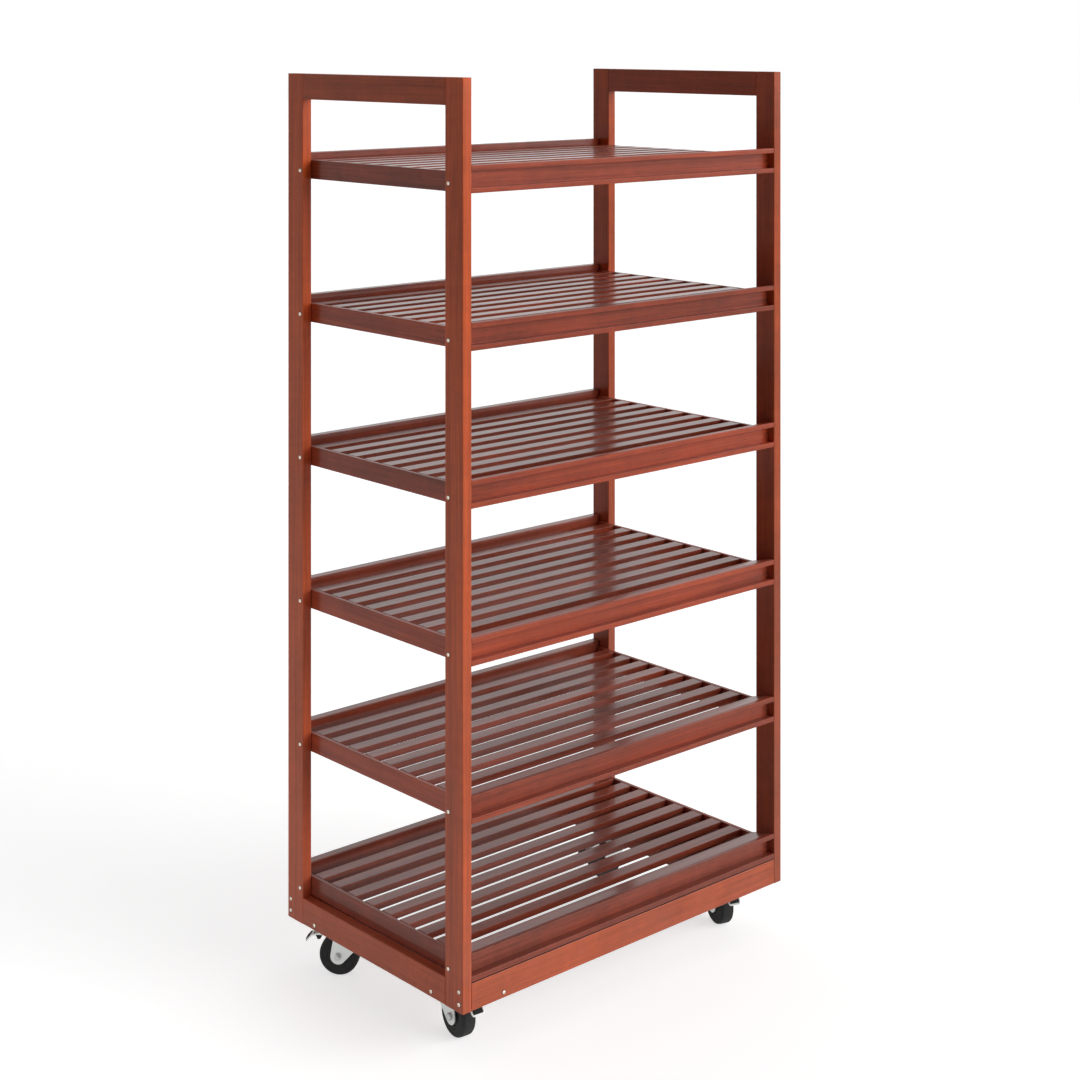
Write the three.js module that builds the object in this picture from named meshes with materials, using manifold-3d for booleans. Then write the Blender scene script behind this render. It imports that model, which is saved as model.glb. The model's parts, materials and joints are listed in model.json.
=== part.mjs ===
// Bakery bread rack: two wooden end frames carry six slatted shelves over a castered base.
// Millimetres, +Z up. The origin is on the floor under the middle of the rack,
// +X runs to the right along the front and +Y from the front to the back.
import * as THREE from 'three';
import { mergeVertices } from 'three/addons/utils/BufferGeometryUtils.js';
import Module from 'manifold-3d';

// Rack
const RACK_WIDTH = 778;
const RACK_DEPTH = 495;
const FRAME_HEIGHT = 1524;
const STOCK_WIDTH = 46;
const STOCK_THICKNESS = 19;
const JOINT_GAP = 0.3;

// Shapes that are cut away or joined run this far past the face they meet
const RUN_PAST = 1;
const MERGE_DISTANCE = 1e-4;

// Mortise and tenon between the rails and posts of an end frame
const TENON_THICKNESS = 9;
const TENON_HEIGHT = 30;
const TENON_LENGTH = 25;

// Shelves: heights are above the bottom of the frame or above the shelf's own underside
const SHELF_COUNT = 6;
const SHELF_PITCH = 257.5;
const FIRST_SHELF_HEIGHT = 47;
const SHELF_RAIL_HEIGHT = 46;
const SLAT_LEVEL = 34;

// Front rail: a moulding with a channel for labels and a top that slopes down to the slats
const FRONT_RAIL_SETBACK = 0.5;
const FRONT_RAIL_DEPTH = 54;
const FRONT_RAIL_WEB_BACK = 27;
const CHANNEL_DEPTH = 15;
const CHANNEL_LIP = 9;
const TOP_LAND = 8;
const FIN_THICKNESS = 12;
const EASED_EDGE = 1.5;

// Back rail
const BACK_RAIL_SETBACK = 1.5;

// Slat deck
const SLAT_COUNT = 8;
const SLAT_WIDTH = 25.5;
const SLAT_THICKNESS = 11;
const SLAT_SEAT = 0.2;
const SIDE_RAIL_WIDTH = 19;
const SIDE_RAIL_RIM = 7;
const SLAT_END_GAP = 0.5;

// Boards in the base that carry the casters
const CASTER_BOARD_WIDTH = 88;

// Casters: heights are above the floor
const CASTER_HEIGHT = 85;
const CASTER_FROM_SIDE = 66;
const CASTER_FROM_FRONT = 115;
const TRAIL = 28;
const WHEEL_RADIUS = 36;
const TYRE_WIDTH = 25;
const TYRE_SHOULDER = 4.5;
const TYRE_FACE_STEP = 1;
const TYRE_FACE_SLOPE = 3;
const WHEEL_STEPS = 36;
const HUB_RADIUS = 20;
const HUB_BOSS_RADIUS = 9;
const HUB_BOSS_LENGTH = 29;
const HUB_FACE_RECESS = 2.5;
const HUB_RIM_WALL = 2.4;
const HUB_DRAFT = 0.7;
const AXLE_RADIUS = 4;
const AXLE_HEX_RADIUS = 6.4;
const AXLE_HEAD_HEIGHT = 4.5;
const AXLE_TAIL = 2.2;
const ROUND_STEPS = 16;

// Top plate with its raceway and king pin
const PLATE_SIZE = 62;
const PLATE_CORNER = 9;
const PLATE_THICKNESS = 2.5;
const PLATE_HOLE_SPACING = 46;
const PLATE_HOLE_RADIUS = 3;
const RACE_RADIUS = 23;
const RACE_DEPTH = 5.4;
const RACE_SHOULDER = { inward: 3, upward: 2 };
const KING_PIN_RADIUS = 5;
const KING_PIN_HEAD_RADIUS = 8;
const KING_PIN_HEAD_HEIGHT = 3.5;
const KING_PIN_CHAMFER = 1;

// Fork: a pressed steel channel trimmed to a tapering side view
const FORK_STEEL = 2.5;
const FORK_INSIDE = 30;
const FORK_BEND = 3;
const FORK_FRONT = -22;
const FORK_FRONT_DROP = 8;
const FORK_FRONT_CORNER = 12;
const FORK_FOOT_RADIUS = 14;
const FORK_BACK_TOP = TRAIL + 7;
const TONGUE_WIDTH = 14;
const TONGUE_ROOT = 4;

// Brake: a lever on the fork's tongue with a rubber shoe over the tread
const BRAKE_PIVOT_BACK = TRAIL + 26;
const BRAKE_PIVOT_HEIGHT = 73;
const BRAKE_EYE_RADIUS = 4.5;
const BRAKE_PIN_RADIUS = 2.2;
const BRAKE_PIN_TAIL = 0.8;
const LEVER_TILT = THREE.MathUtils.degToRad(16);
const LEVER_STEEL = 2.5;
const LEVER_PLATE = { start: 5, bend: 24, width: 24, underside: 1, corner: 6 };
const LEVER_LIP = { length: 16, drop: THREE.MathUtils.degToRad(32) };
const LEVER_CHEEK = { thickness: 2, reach: 15 };
const LEVER_RIBS = { count: 3, first: 11, pitch: 4.5, width: 1.6, height: 0.8, length: 16 };
const SHOE_TOP = { height: 0.7, start: 9, end: 19 };
const SHOE_BOTTOM = { height: -9.5, start: 11.5, end: 17 };
const SHOE_WIDTH = 13.4;

// Where each caster's wheel points at rest, in degrees from +X, seen from above
const CASTERS = [
  { name: 'front_left', x: -1, y: -1, trail: 264 },
  { name: 'front_right', x: 1, y: -1, trail: 252 },
  { name: 'back_left', x: -1, y: 1, trail: 130 },
  { name: 'back_right', x: 1, y: 1, trail: 176 },
];

// Finishes
const LACQUERED_WOOD = { color: 0x8e4027, roughness: 0.32, metalness: 0 };
const DARK_WOOD = { color: 0x6f2f1f, roughness: 0.4, metalness: 0 };
const ZINC_STEEL = { color: 0xc6c9c4, roughness: 0.38, metalness: 0.9 };
const BOLT_STEEL = { color: 0xb4b6b2, roughness: 0.3, metalness: 0.95 };
const BLACK_RUBBER = { color: 0x1b1c1c, roughness: 0.62, metalness: 0 };
const BLACK_PLASTIC = { color: 0x161717, roughness: 0.45, metalness: 0 };

const LEFT = -RACK_WIDTH / 2;
const RIGHT = RACK_WIDTH / 2;
const FRONT = -RACK_DEPTH / 2;
const BACK = RACK_DEPTH / 2;
const BOTTOM = CASTER_HEIGHT;
const TOP = BOTTOM + FRAME_HEIGHT;
const INSIDE_LEFT = LEFT + STOCK_THICKNESS + JOINT_GAP;
const INSIDE_RIGHT = RIGHT - STOCK_THICKNESS - JOINT_GAP;

const wasm = await Module();
wasm.setup();

// A closed solid from a geometry: shared corners are joined and collapsed triangles dropped
function solid(geometry) {
  geometry.deleteAttribute('normal');
  geometry.deleteAttribute('uv');
  const joined = mergeVertices(geometry, MERGE_DISTANCE);
  const corners = [];
  for (let i = 0; i < joined.index.count; i += 3) {
    const [a, b, c] = [0, 1, 2].map((k) => joined.index.getX(i + k));
    if (a !== b && b !== c && c !== a) {
      corners.push(a, b, c);
    }
  }
  const mesh = new wasm.Mesh({
    numProp: 3,
    vertProperties: Float32Array.from(joined.attributes.position.array),
    triVerts: Uint32Array.from(corners),
  });
  return new wasm.Manifold(mesh);
}

function join(first, ...others) {
  return others.reduce((whole, other) => whole.add(other), first);
}

function cut(whole, ...tools) {
  return tools.reduce((rest, tool) => rest.subtract(tool), whole);
}

function block([x0, x1], [y0, y1], [z0, z1]) {
  const geometry = new THREE.BoxGeometry(x1 - x0, y1 - y0, z1 - z0);
  geometry.translate((x0 + x1) / 2, (y0 + y1) / 2, (z0 + z1) / 2);
  return solid(geometry);
}

// A round bar along Y, centred on y
function roundBar(radius, length, x, y, z, steps = ROUND_STEPS) {
  const geometry = new THREE.CylinderGeometry(radius, radius, length, steps);
  geometry.translate(x, y, z);
  return solid(geometry);
}

// A round bar along Z, for holes through level steel
function uprightBar(radius, from, to) {
  const geometry = new THREE.CylinderGeometry(radius, radius, to - from, ROUND_STEPS);
  geometry.rotateX(Math.PI / 2);
  geometry.translate(0, 0, (from + to) / 2);
  return solid(geometry);
}

// A profile drawn in (Y, Z), run along X
function runAlongX(profile, from, to, curveSegments = 2) {
  const options = { depth: to - from, bevelEnabled: false, curveSegments };
  const geometry = new THREE.ExtrudeGeometry(profile, options);
  const turn = new THREE.Matrix4().makeBasis(
    new THREE.Vector3(0, 1, 0),
    new THREE.Vector3(0, 0, 1),
    new THREE.Vector3(1, 0, 0),
  );
  geometry.applyMatrix4(turn);
  geometry.translate(from, 0, 0);
  return solid(geometry);
}

// A profile drawn in (X, Z), given a width along Y around y
function runAlongY(profile, width, y = 0, curveSegments = 6) {
  const options = { depth: width, bevelEnabled: false, curveSegments };
  const geometry = new THREE.ExtrudeGeometry(profile, options);
  geometry.rotateX(Math.PI / 2);
  geometry.translate(0, y + width / 2, 0);
  return solid(geometry);
}

// An outline drawn in (X, Y), raised from one height to another
function raise(outline, from, to, curveSegments = 3) {
  const options = { depth: to - from, bevelEnabled: false, curveSegments };
  const geometry = new THREE.ExtrudeGeometry(outline, options);
  geometry.translate(0, 0, from);
  return solid(geometry);
}

function revolve(profile, steps) {
  const halfStep = Math.PI / steps;
  return solid(new THREE.LatheGeometry(profile, steps, halfStep, 2 * Math.PI));
}

// Radius of a many-sided bar whose flats stand at the given distance from its axis
function acrossCorners(flatRadius, steps) {
  return flatRadius / Math.cos(Math.PI / steps);
}

function points(pairs) {
  return pairs.map(([a, b]) => new THREE.Vector2(a, b));
}

function addPiece(parent, name, shape, finish) {
  const { vertProperties, triVerts } = shape.getMesh();
  const geometry = new THREE.BufferGeometry();
  geometry.setAttribute('position', new THREE.BufferAttribute(vertProperties, 3));
  geometry.setIndex(new THREE.BufferAttribute(triVerts, 1));
  geometry.computeVertexNormals();
  const mesh = new THREE.Mesh(geometry, new THREE.MeshStandardMaterial(finish));
  mesh.name = name;
  parent.add(mesh);
}

// End frames: full-height posts with a top and a bottom rail tenoned between them

const RAIL_HEIGHTS = { top: TOP - STOCK_WIDTH / 2, bottom: BOTTOM + STOCK_WIDTH / 2 };
const POST_INNER_FRONT = FRONT + STOCK_WIDTH;
const POST_INNER_BACK = BACK - STOCK_WIDTH;

function tenonBar(middleX, middleZ, y0, y1, growth) {
  const halfThickness = TENON_THICKNESS / 2 + growth;
  const halfHeight = TENON_HEIGHT / 2 + growth;
  return block(
    [middleX - halfThickness, middleX + halfThickness],
    [y0, y1],
    [middleZ - halfHeight, middleZ + halfHeight],
  );
}

function endFrame(parent, side, outerFace, innerFace) {
  const span = [Math.min(outerFace, innerFace), Math.max(outerFace, innerFace)];
  const middle = (outerFace + innerFace) / 2;
  const mortises = Object.values(RAIL_HEIGHTS).map((height) =>
    tenonBar(
      middle,
      height,
      POST_INNER_FRONT - TENON_LENGTH - JOINT_GAP,
      POST_INNER_BACK + TENON_LENGTH + JOINT_GAP,
      JOINT_GAP,
    ),
  );
  const frontPost = block(span, [FRONT, POST_INNER_FRONT], [BOTTOM, TOP]);
  const backPost = block(span, [POST_INNER_BACK, BACK], [BOTTOM, TOP]);
  addPiece(parent, `${side}_front_post`, cut(frontPost, ...mortises), LACQUERED_WOOD);
  addPiece(parent, `${side}_back_post`, cut(backPost, ...mortises), LACQUERED_WOOD);

  for (const [level, height] of Object.entries(RAIL_HEIGHTS)) {
    const rail = block(
      span,
      [POST_INNER_FRONT + JOINT_GAP, POST_INNER_BACK - JOINT_GAP],
      [height - STOCK_WIDTH / 2, height + STOCK_WIDTH / 2],
    );
    const tenons = tenonBar(
      middle,
      height,
      POST_INNER_FRONT - TENON_LENGTH,
      POST_INNER_BACK + TENON_LENGTH,
      0,
    );
    addPiece(parent, `${side}_${level}_rail`, join(rail, tenons), LACQUERED_WOOD);
  }
}

// Base: a rail across the front and the back, and a board at each end for the casters

function base(parent) {
  const across = [INSIDE_LEFT, INSIDE_RIGHT];
  const railHeight = [BOTTOM, BOTTOM + STOCK_WIDTH];
  const frontRail = block(across, [FRONT, FRONT + STOCK_THICKNESS], railHeight);
  const backRail = block(across, [BACK - STOCK_THICKNESS, BACK], railHeight);
  addPiece(parent, 'front_base_rail', frontRail, LACQUERED_WOOD);
  addPiece(parent, 'back_base_rail', backRail, LACQUERED_WOOD);

  const along = [FRONT + STOCK_THICKNESS + JOINT_GAP, BACK - STOCK_THICKNESS - JOINT_GAP];
  const boardHeight = [BOTTOM, BOTTOM + STOCK_THICKNESS];
  const leftBoard = block([INSIDE_LEFT, INSIDE_LEFT + CASTER_BOARD_WIDTH], along, boardHeight);
  const rightBoard = block([INSIDE_RIGHT - CASTER_BOARD_WIDTH, INSIDE_RIGHT], along, boardHeight);
  addPiece(parent, 'left_caster_board', leftBoard, DARK_WOOD);
  addPiece(parent, 'right_caster_board', rightBoard, DARK_WOOD);
}

// Shelves

const FRONT_RAIL_FACE = FRONT + FRONT_RAIL_SETBACK;
const DECK_FRONT = FRONT_RAIL_FACE + FRONT_RAIL_DEPTH;
const BACK_RAIL_FACE = BACK - BACK_RAIL_SETBACK - STOCK_THICKNESS;
const SLAT_GAP = (BACK_RAIL_FACE - DECK_FRONT - SLAT_COUNT * SLAT_WIDTH) / (SLAT_COUNT + 1);
const FIN_UNDERSIDE = SLAT_LEVEL - FIN_THICKNESS;
const SLAT_UNDERSIDE = SLAT_LEVEL - SLAT_THICKNESS;

function frontRail(height) {
  const face = FRONT_RAIL_FACE;
  const top = height + SHELF_RAIL_HEIGHT;
  const profile = new THREE.Shape();
  profile.moveTo(face, height);
  profile.lineTo(face + FRONT_RAIL_WEB_BACK, height);
  profile.lineTo(face + FRONT_RAIL_WEB_BACK, height + FIN_UNDERSIDE);
  profile.lineTo(DECK_FRONT, height + FIN_UNDERSIDE);
  profile.lineTo(DECK_FRONT, height + SLAT_LEVEL);
  profile.lineTo(face + TOP_LAND, top);
  profile.lineTo(face + EASED_EDGE, top);
  profile.quadraticCurveTo(face, top, face, top - EASED_EDGE);
  profile.lineTo(face, top - CHANNEL_LIP);
  profile.lineTo(face + CHANNEL_DEPTH, top - CHANNEL_LIP);
  profile.lineTo(face + CHANNEL_DEPTH, height + CHANNEL_LIP);
  profile.lineTo(face, height + CHANNEL_LIP);
  return runAlongX(profile, INSIDE_LEFT, INSIDE_RIGHT);
}

function backRail(height) {
  return block(
    [INSIDE_LEFT, INSIDE_RIGHT],
    [BACK_RAIL_FACE, BACK_RAIL_FACE + STOCK_THICKNESS],
    [height, height + SHELF_RAIL_HEIGHT],
  );
}

// A side rail has a rim outside and a ledge inside that seats the slat ends;
// its front end is notched to pass under the fin of the front rail
function sideRail(height, outer, inner) {
  const inward = Math.sign(inner - outer);
  const sorted = (a, b) => [Math.min(a, b), Math.max(a, b)];
  const front = FRONT_RAIL_FACE + FRONT_RAIL_WEB_BACK + JOINT_GAP;
  const back = BACK_RAIL_FACE - JOINT_GAP;
  const body = block(sorted(outer, inner), [front, back], [height, height + SLAT_LEVEL]);
  const ledge = block(
    sorted(outer + inward * SIDE_RAIL_RIM, inner + inward * RUN_PAST),
    [front - RUN_PAST, back + RUN_PAST],
    [height + SLAT_UNDERSIDE, height + SLAT_LEVEL + RUN_PAST],
  );
  const notch = block(
    sorted(outer - inward * RUN_PAST, inner + inward * RUN_PAST),
    [front - RUN_PAST, DECK_FRONT + JOINT_GAP],
    [height + FIN_UNDERSIDE - JOINT_GAP, height + SLAT_LEVEL + RUN_PAST],
  );
  return cut(body, ledge, notch);
}

function slat(height, y) {
  const bottom = height + SLAT_UNDERSIDE - SLAT_SEAT;
  const top = height + SLAT_LEVEL;
  const profile = new THREE.Shape(points([
    [y, bottom],
    [y + SLAT_WIDTH, bottom],
    [y + SLAT_WIDTH, top - EASED_EDGE],
    [y + SLAT_WIDTH - EASED_EDGE, top],
    [y + EASED_EDGE, top],
    [y, top - EASED_EDGE],
  ]));
  const rimGap = SIDE_RAIL_RIM + SLAT_END_GAP;
  return runAlongX(profile, INSIDE_LEFT + rimGap, INSIDE_RIGHT - rimGap);
}

function slatDeck(height) {
  const left = sideRail(height, INSIDE_LEFT, INSIDE_LEFT + SIDE_RAIL_WIDTH);
  const right = sideRail(height, INSIDE_RIGHT, INSIDE_RIGHT - SIDE_RAIL_WIDTH);
  const slats = [];
  for (let i = 0; i < SLAT_COUNT; i += 1) {
    slats.push(slat(height, DECK_FRONT + SLAT_GAP + i * (SLAT_WIDTH + SLAT_GAP)));
  }
  return join(left, right, ...slats);
}

function shelf(parent, number) {
  const height = BOTTOM + FIRST_SHELF_HEIGHT + (number - 1) * SHELF_PITCH;
  addPiece(parent, `shelf_${number}_slat_deck`, slatDeck(height), LACQUERED_WOOD);
  addPiece(parent, `shelf_${number}_front_rail`, frontRail(height), LACQUERED_WOOD);
  addPiece(parent, `shelf_${number}_back_rail`, backRail(height), LACQUERED_WOOD);
}

// Casters: built about the swivel axis, with the wheel trailing towards +X

const PLATE_TOP = CASTER_HEIGHT - JOINT_GAP;
const PLATE_UNDERSIDE = PLATE_TOP - PLATE_THICKNESS;
const RACE_UNDERSIDE = PLATE_UNDERSIDE - RACE_DEPTH;
const CROWN_TOP = RACE_UNDERSIDE - JOINT_GAP;
const CROWN_UNDERSIDE = CROWN_TOP - FORK_STEEL;
const FORK_OUTSIDE = FORK_INSIDE + 2 * FORK_STEEL;
const AXLE_HEIGHT = WHEEL_RADIUS;

function topPlate() {
  const half = PLATE_SIZE / 2;
  const straight = half - PLATE_CORNER;
  const outline = new THREE.Shape();
  for (const [x, y, start] of [[1, -1, -90], [1, 1, 0], [-1, 1, 90], [-1, -1, 180]]) {
    const from = THREE.MathUtils.degToRad(start);
    outline.absarc(x * straight, y * straight, PLATE_CORNER, from, from + Math.PI / 2);
  }
  for (const x of [-1, 1]) {
    for (const y of [-1, 1]) {
      const hole = new THREE.Path();
      const offset = PLATE_HOLE_SPACING / 2;
      hole.absarc(x * offset, y * offset, PLATE_HOLE_RADIUS, 0, 2 * Math.PI);
      outline.holes.push(hole);
    }
  }
  const plate = raise(outline, PLATE_UNDERSIDE, PLATE_TOP);

  const headTop = CROWN_UNDERSIDE - JOINT_GAP;
  const headBottom = headTop - KING_PIN_HEAD_HEIGHT;
  const race = solid(new THREE.LatheGeometry(points([
    [0, headBottom],
    [KING_PIN_HEAD_RADIUS - KING_PIN_CHAMFER, headBottom],
    [KING_PIN_HEAD_RADIUS, headBottom + KING_PIN_CHAMFER],
    [KING_PIN_HEAD_RADIUS, headTop],
    [KING_PIN_RADIUS, headTop],
    [KING_PIN_RADIUS, RACE_UNDERSIDE],
    [RACE_RADIUS - RACE_SHOULDER.inward, RACE_UNDERSIDE],
    [RACE_RADIUS, RACE_UNDERSIDE + RACE_SHOULDER.upward],
    [RACE_RADIUS, PLATE_UNDERSIDE + RUN_PAST],
    [0, PLATE_UNDERSIDE + RUN_PAST],
  ]), ROUND_STEPS).rotateX(Math.PI / 2));
  return join(plate, race);
}

// Section of the fork across the wheel: an upturned channel with rounded bends
function forkChannel() {
  const outer = FORK_OUTSIDE / 2;
  const inner = FORK_INSIDE / 2;
  const outerBend = FORK_BEND + FORK_STEEL;
  const bendHeight = CROWN_UNDERSIDE - FORK_BEND;
  const section = new THREE.Shape();
  section.moveTo(-outer, 0);
  section.lineTo(-inner, 0);
  section.lineTo(-inner, bendHeight);
  section.absarc(-inner + FORK_BEND, bendHeight, FORK_BEND, Math.PI, Math.PI / 2, true);
  section.absarc(inner - FORK_BEND, bendHeight, FORK_BEND, Math.PI / 2, 0, true);
  section.lineTo(inner, 0);
  section.lineTo(outer, 0);
  section.absarc(outer - outerBend, CROWN_TOP - outerBend, outerBend, 0, Math.PI / 2);
  section.absarc(-outer + outerBend, CROWN_TOP - outerBend, outerBend, Math.PI / 2, Math.PI);
  return runAlongX(section, FORK_FRONT, FORK_BACK_TOP + FORK_FOOT_RADIUS);
}

// Side view of the fork: a wide crown tapering to a round foot at the axle
function forkSideView() {
  const frontLow = new THREE.Vector2(FORK_FRONT, CROWN_TOP - FORK_FRONT_DROP);
  const backTop = new THREE.Vector2(FORK_BACK_TOP, CROWN_TOP + RUN_PAST);
  const axle = new THREE.Vector2(TRAIL, AXLE_HEIGHT);
  // Angles at which the straight edges leave the foot's circle
  const tangent = (corner, side) => {
    const away = corner.clone().sub(axle);
    return away.angle() + side * Math.acos(FORK_FOOT_RADIUS / away.length());
  };
  const view = new THREE.Shape();
  const footStart = tangent(frontLow, 1);
  const footEnd = tangent(backTop, -1) + 2 * Math.PI;
  view.moveTo(FORK_FRONT, CROWN_TOP + RUN_PAST);
  view.lineTo(frontLow.x, frontLow.y);
  view.absarc(axle.x, axle.y, FORK_FOOT_RADIUS, footStart, footEnd);
  view.lineTo(backTop.x, backTop.y);
  return runAlongY(view, FORK_OUTSIDE + 2 * RUN_PAST);
}

// Top view of the fork: its front corners are rounded
function forkTopView() {
  const half = FORK_OUTSIDE / 2 + RUN_PAST;
  const back = FORK_BACK_TOP + FORK_FOOT_RADIUS + RUN_PAST;
  const view = new THREE.Shape();
  view.moveTo(back, -half);
  view.lineTo(back, half);
  view.lineTo(FORK_FRONT + FORK_FRONT_CORNER, half);
  view.quadraticCurveTo(FORK_FRONT, half, FORK_FRONT, half - FORK_FRONT_CORNER);
  view.lineTo(FORK_FRONT, -half + FORK_FRONT_CORNER);
  view.quadraticCurveTo(FORK_FRONT, -half, FORK_FRONT + FORK_FRONT_CORNER, -half);
  return raise(view, 0, CROWN_TOP + RUN_PAST);
}

function fork() {
  const shell = forkChannel().intersect(forkSideView()).intersect(forkTopView());
  const tongue = block(
    [FORK_BACK_TOP - TONGUE_ROOT, BRAKE_PIVOT_BACK],
    [-TONGUE_WIDTH / 2, TONGUE_WIDTH / 2],
    [CROWN_UNDERSIDE, CROWN_TOP],
  );
  const eye = roundBar(BRAKE_EYE_RADIUS, TONGUE_WIDTH, BRAKE_PIVOT_BACK, 0, BRAKE_PIVOT_HEIGHT);
  const pinHole = roundBar(
    acrossCorners(BRAKE_PIN_RADIUS + JOINT_GAP, ROUND_STEPS),
    FORK_OUTSIDE,
    BRAKE_PIVOT_BACK,
    0,
    BRAKE_PIVOT_HEIGHT,
  );
  const axleHole = roundBar(
    acrossCorners(AXLE_RADIUS + JOINT_GAP, ROUND_STEPS),
    FORK_OUTSIDE + 2 * RUN_PAST,
    TRAIL,
    0,
    AXLE_HEIGHT,
  );
  const kingPinHole = uprightBar(
    acrossCorners(KING_PIN_RADIUS + JOINT_GAP, ROUND_STEPS),
    CROWN_UNDERSIDE - RUN_PAST,
    CROWN_TOP + RUN_PAST,
  );
  return cut(join(shell, tongue, eye), pinHole, axleHole, kingPinHole);
}

function tyre() {
  const half = TYRE_WIDTH / 2;
  const outer = acrossCorners(WHEEL_RADIUS, WHEEL_STEPS);
  const inner = acrossCorners(HUB_RADIUS, WHEEL_STEPS);
  const profile = new THREE.Shape();
  profile.moveTo(inner, -half + TYRE_FACE_STEP);
  profile.lineTo(inner + TYRE_FACE_SLOPE, -half);
  profile.absarc(outer - TYRE_SHOULDER, -half + TYRE_SHOULDER, TYRE_SHOULDER, -Math.PI / 2, 0);
  profile.absarc(outer - TYRE_SHOULDER, half - TYRE_SHOULDER, TYRE_SHOULDER, 0, Math.PI / 2);
  profile.lineTo(inner + TYRE_FACE_SLOPE, half);
  profile.lineTo(inner, half - TYRE_FACE_STEP);
  profile.closePath();
  return revolve(profile.getPoints(1), WHEEL_STEPS).translate([TRAIL, 0, AXLE_HEIGHT]);
}

function hub() {
  const rim = HUB_RADIUS - JOINT_GAP;
  const rimHalf = TYRE_WIDTH / 2 - TYRE_FACE_STEP;
  const webHalf = rimHalf - HUB_FACE_RECESS;
  const bossHalf = HUB_BOSS_LENGTH / 2;
  const bore = acrossCorners(AXLE_RADIUS + JOINT_GAP, ROUND_STEPS);
  const side = [
    [bore, -bossHalf],
    [HUB_BOSS_RADIUS, -bossHalf],
    [HUB_BOSS_RADIUS + HUB_DRAFT, -webHalf],
    [rim - HUB_RIM_WALL - HUB_DRAFT, -webHalf],
    [rim - HUB_RIM_WALL, -rimHalf],
    [rim, -rimHalf],
  ];
  const otherSide = side.map(([r, w]) => [r, -w]).reverse();
  return revolve(points([...side, ...otherSide, side[0]]), ROUND_STEPS)
    .translate([TRAIL, 0, AXLE_HEIGHT]);
}

function axleBolt() {
  const face = FORK_OUTSIDE / 2 + JOINT_GAP;
  const hexMiddle = face + AXLE_HEAD_HEIGHT / 2;
  const end = face + AXLE_HEAD_HEIGHT + AXLE_TAIL;
  const shank = roundBar(AXLE_RADIUS, end + hexMiddle, TRAIL, (end - hexMiddle) / 2, AXLE_HEIGHT);
  const [head, nut] = [-hexMiddle, hexMiddle].map((y) =>
    roundBar(AXLE_HEX_RADIUS, AXLE_HEAD_HEIGHT, TRAIL, y, AXLE_HEIGHT, 6),
  );
  return join(shank, head, nut);
}

// The lever and the shoe are drawn about the brake pivot, then tilted and put in place

function onBrakePivot(shape) {
  return shape
    .rotate([0, THREE.MathUtils.radToDeg(LEVER_TILT), 0])
    .translate([BRAKE_PIVOT_BACK, 0, BRAKE_PIVOT_HEIGHT]);
}

function brakeLever() {
  const { start, bend, width, underside, corner } = LEVER_PLATE;
  const { length, drop } = LEVER_LIP;
  const plateTop = underside + LEVER_STEEL;
  const plateMiddle = underside + LEVER_STEEL / 2;
  const lipReach = bend + length * Math.cos(drop);
  const lipBottom = underside - length * Math.sin(drop);
  const end = lipReach + LEVER_STEEL * Math.sin(drop);
  const bentView = new THREE.Shape(points([
    [start, underside],
    [bend, underside],
    [lipReach, lipBottom],
    [end, lipBottom + LEVER_STEEL * Math.cos(drop)],
    [bend + LEVER_STEEL * Math.tan(drop / 2), plateTop],
    [start, plateTop],
  ]));
  const outline = new THREE.Shape();
  outline.moveTo(start, -width / 2);
  outline.lineTo(end - corner, -width / 2);
  outline.quadraticCurveTo(end, -width / 2, end, -width / 2 + corner);
  outline.lineTo(end, width / 2 - corner);
  outline.quadraticCurveTo(end, width / 2, end - corner, width / 2);
  outline.lineTo(start, width / 2);
  const trimmed = raise(outline, lipBottom - RUN_PAST, plateTop + RUN_PAST);
  const plate = runAlongY(bentView, width).intersect(trimmed);

  const cheekView = new THREE.Shape();
  cheekView.absarc(0, 0, BRAKE_EYE_RADIUS, Math.PI / 2, (3 * Math.PI) / 2);
  cheekView.lineTo(LEVER_CHEEK.reach, underside - RUN_PAST);
  cheekView.lineTo(LEVER_CHEEK.reach, plateMiddle);
  const cheekMiddle = TONGUE_WIDTH / 2 + JOINT_GAP + LEVER_CHEEK.thickness / 2;
  const cheeks = [-1, 1].map((side) =>
    runAlongY(cheekView, LEVER_CHEEK.thickness, side * cheekMiddle, 4),
  );
  const pinLength = 2 * cheekMiddle + LEVER_CHEEK.thickness + 2 * BRAKE_PIN_TAIL;
  const pin = roundBar(BRAKE_PIN_RADIUS, pinLength, 0, 0, 0);

  const ribs = [];
  for (let i = 0; i < LEVER_RIBS.count; i += 1) {
    const x = LEVER_RIBS.first + i * LEVER_RIBS.pitch;
    ribs.push(block(
      [x - LEVER_RIBS.width / 2, x + LEVER_RIBS.width / 2],
      [-LEVER_RIBS.length / 2, LEVER_RIBS.length / 2],
      [plateMiddle, plateTop + LEVER_RIBS.height],
    ));
  }
  return onBrakePivot(join(plate, ...cheeks, pin, ...ribs));
}

function brakeShoe() {
  const view = new THREE.Shape(points([
    [SHOE_TOP.start, SHOE_TOP.height],
    [SHOE_BOTTOM.start, SHOE_BOTTOM.height],
    [SHOE_BOTTOM.end, SHOE_BOTTOM.height],
    [SHOE_TOP.end, SHOE_TOP.height],
  ]));
  return onBrakePivot(runAlongY(view, SHOE_WIDTH));
}

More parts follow.
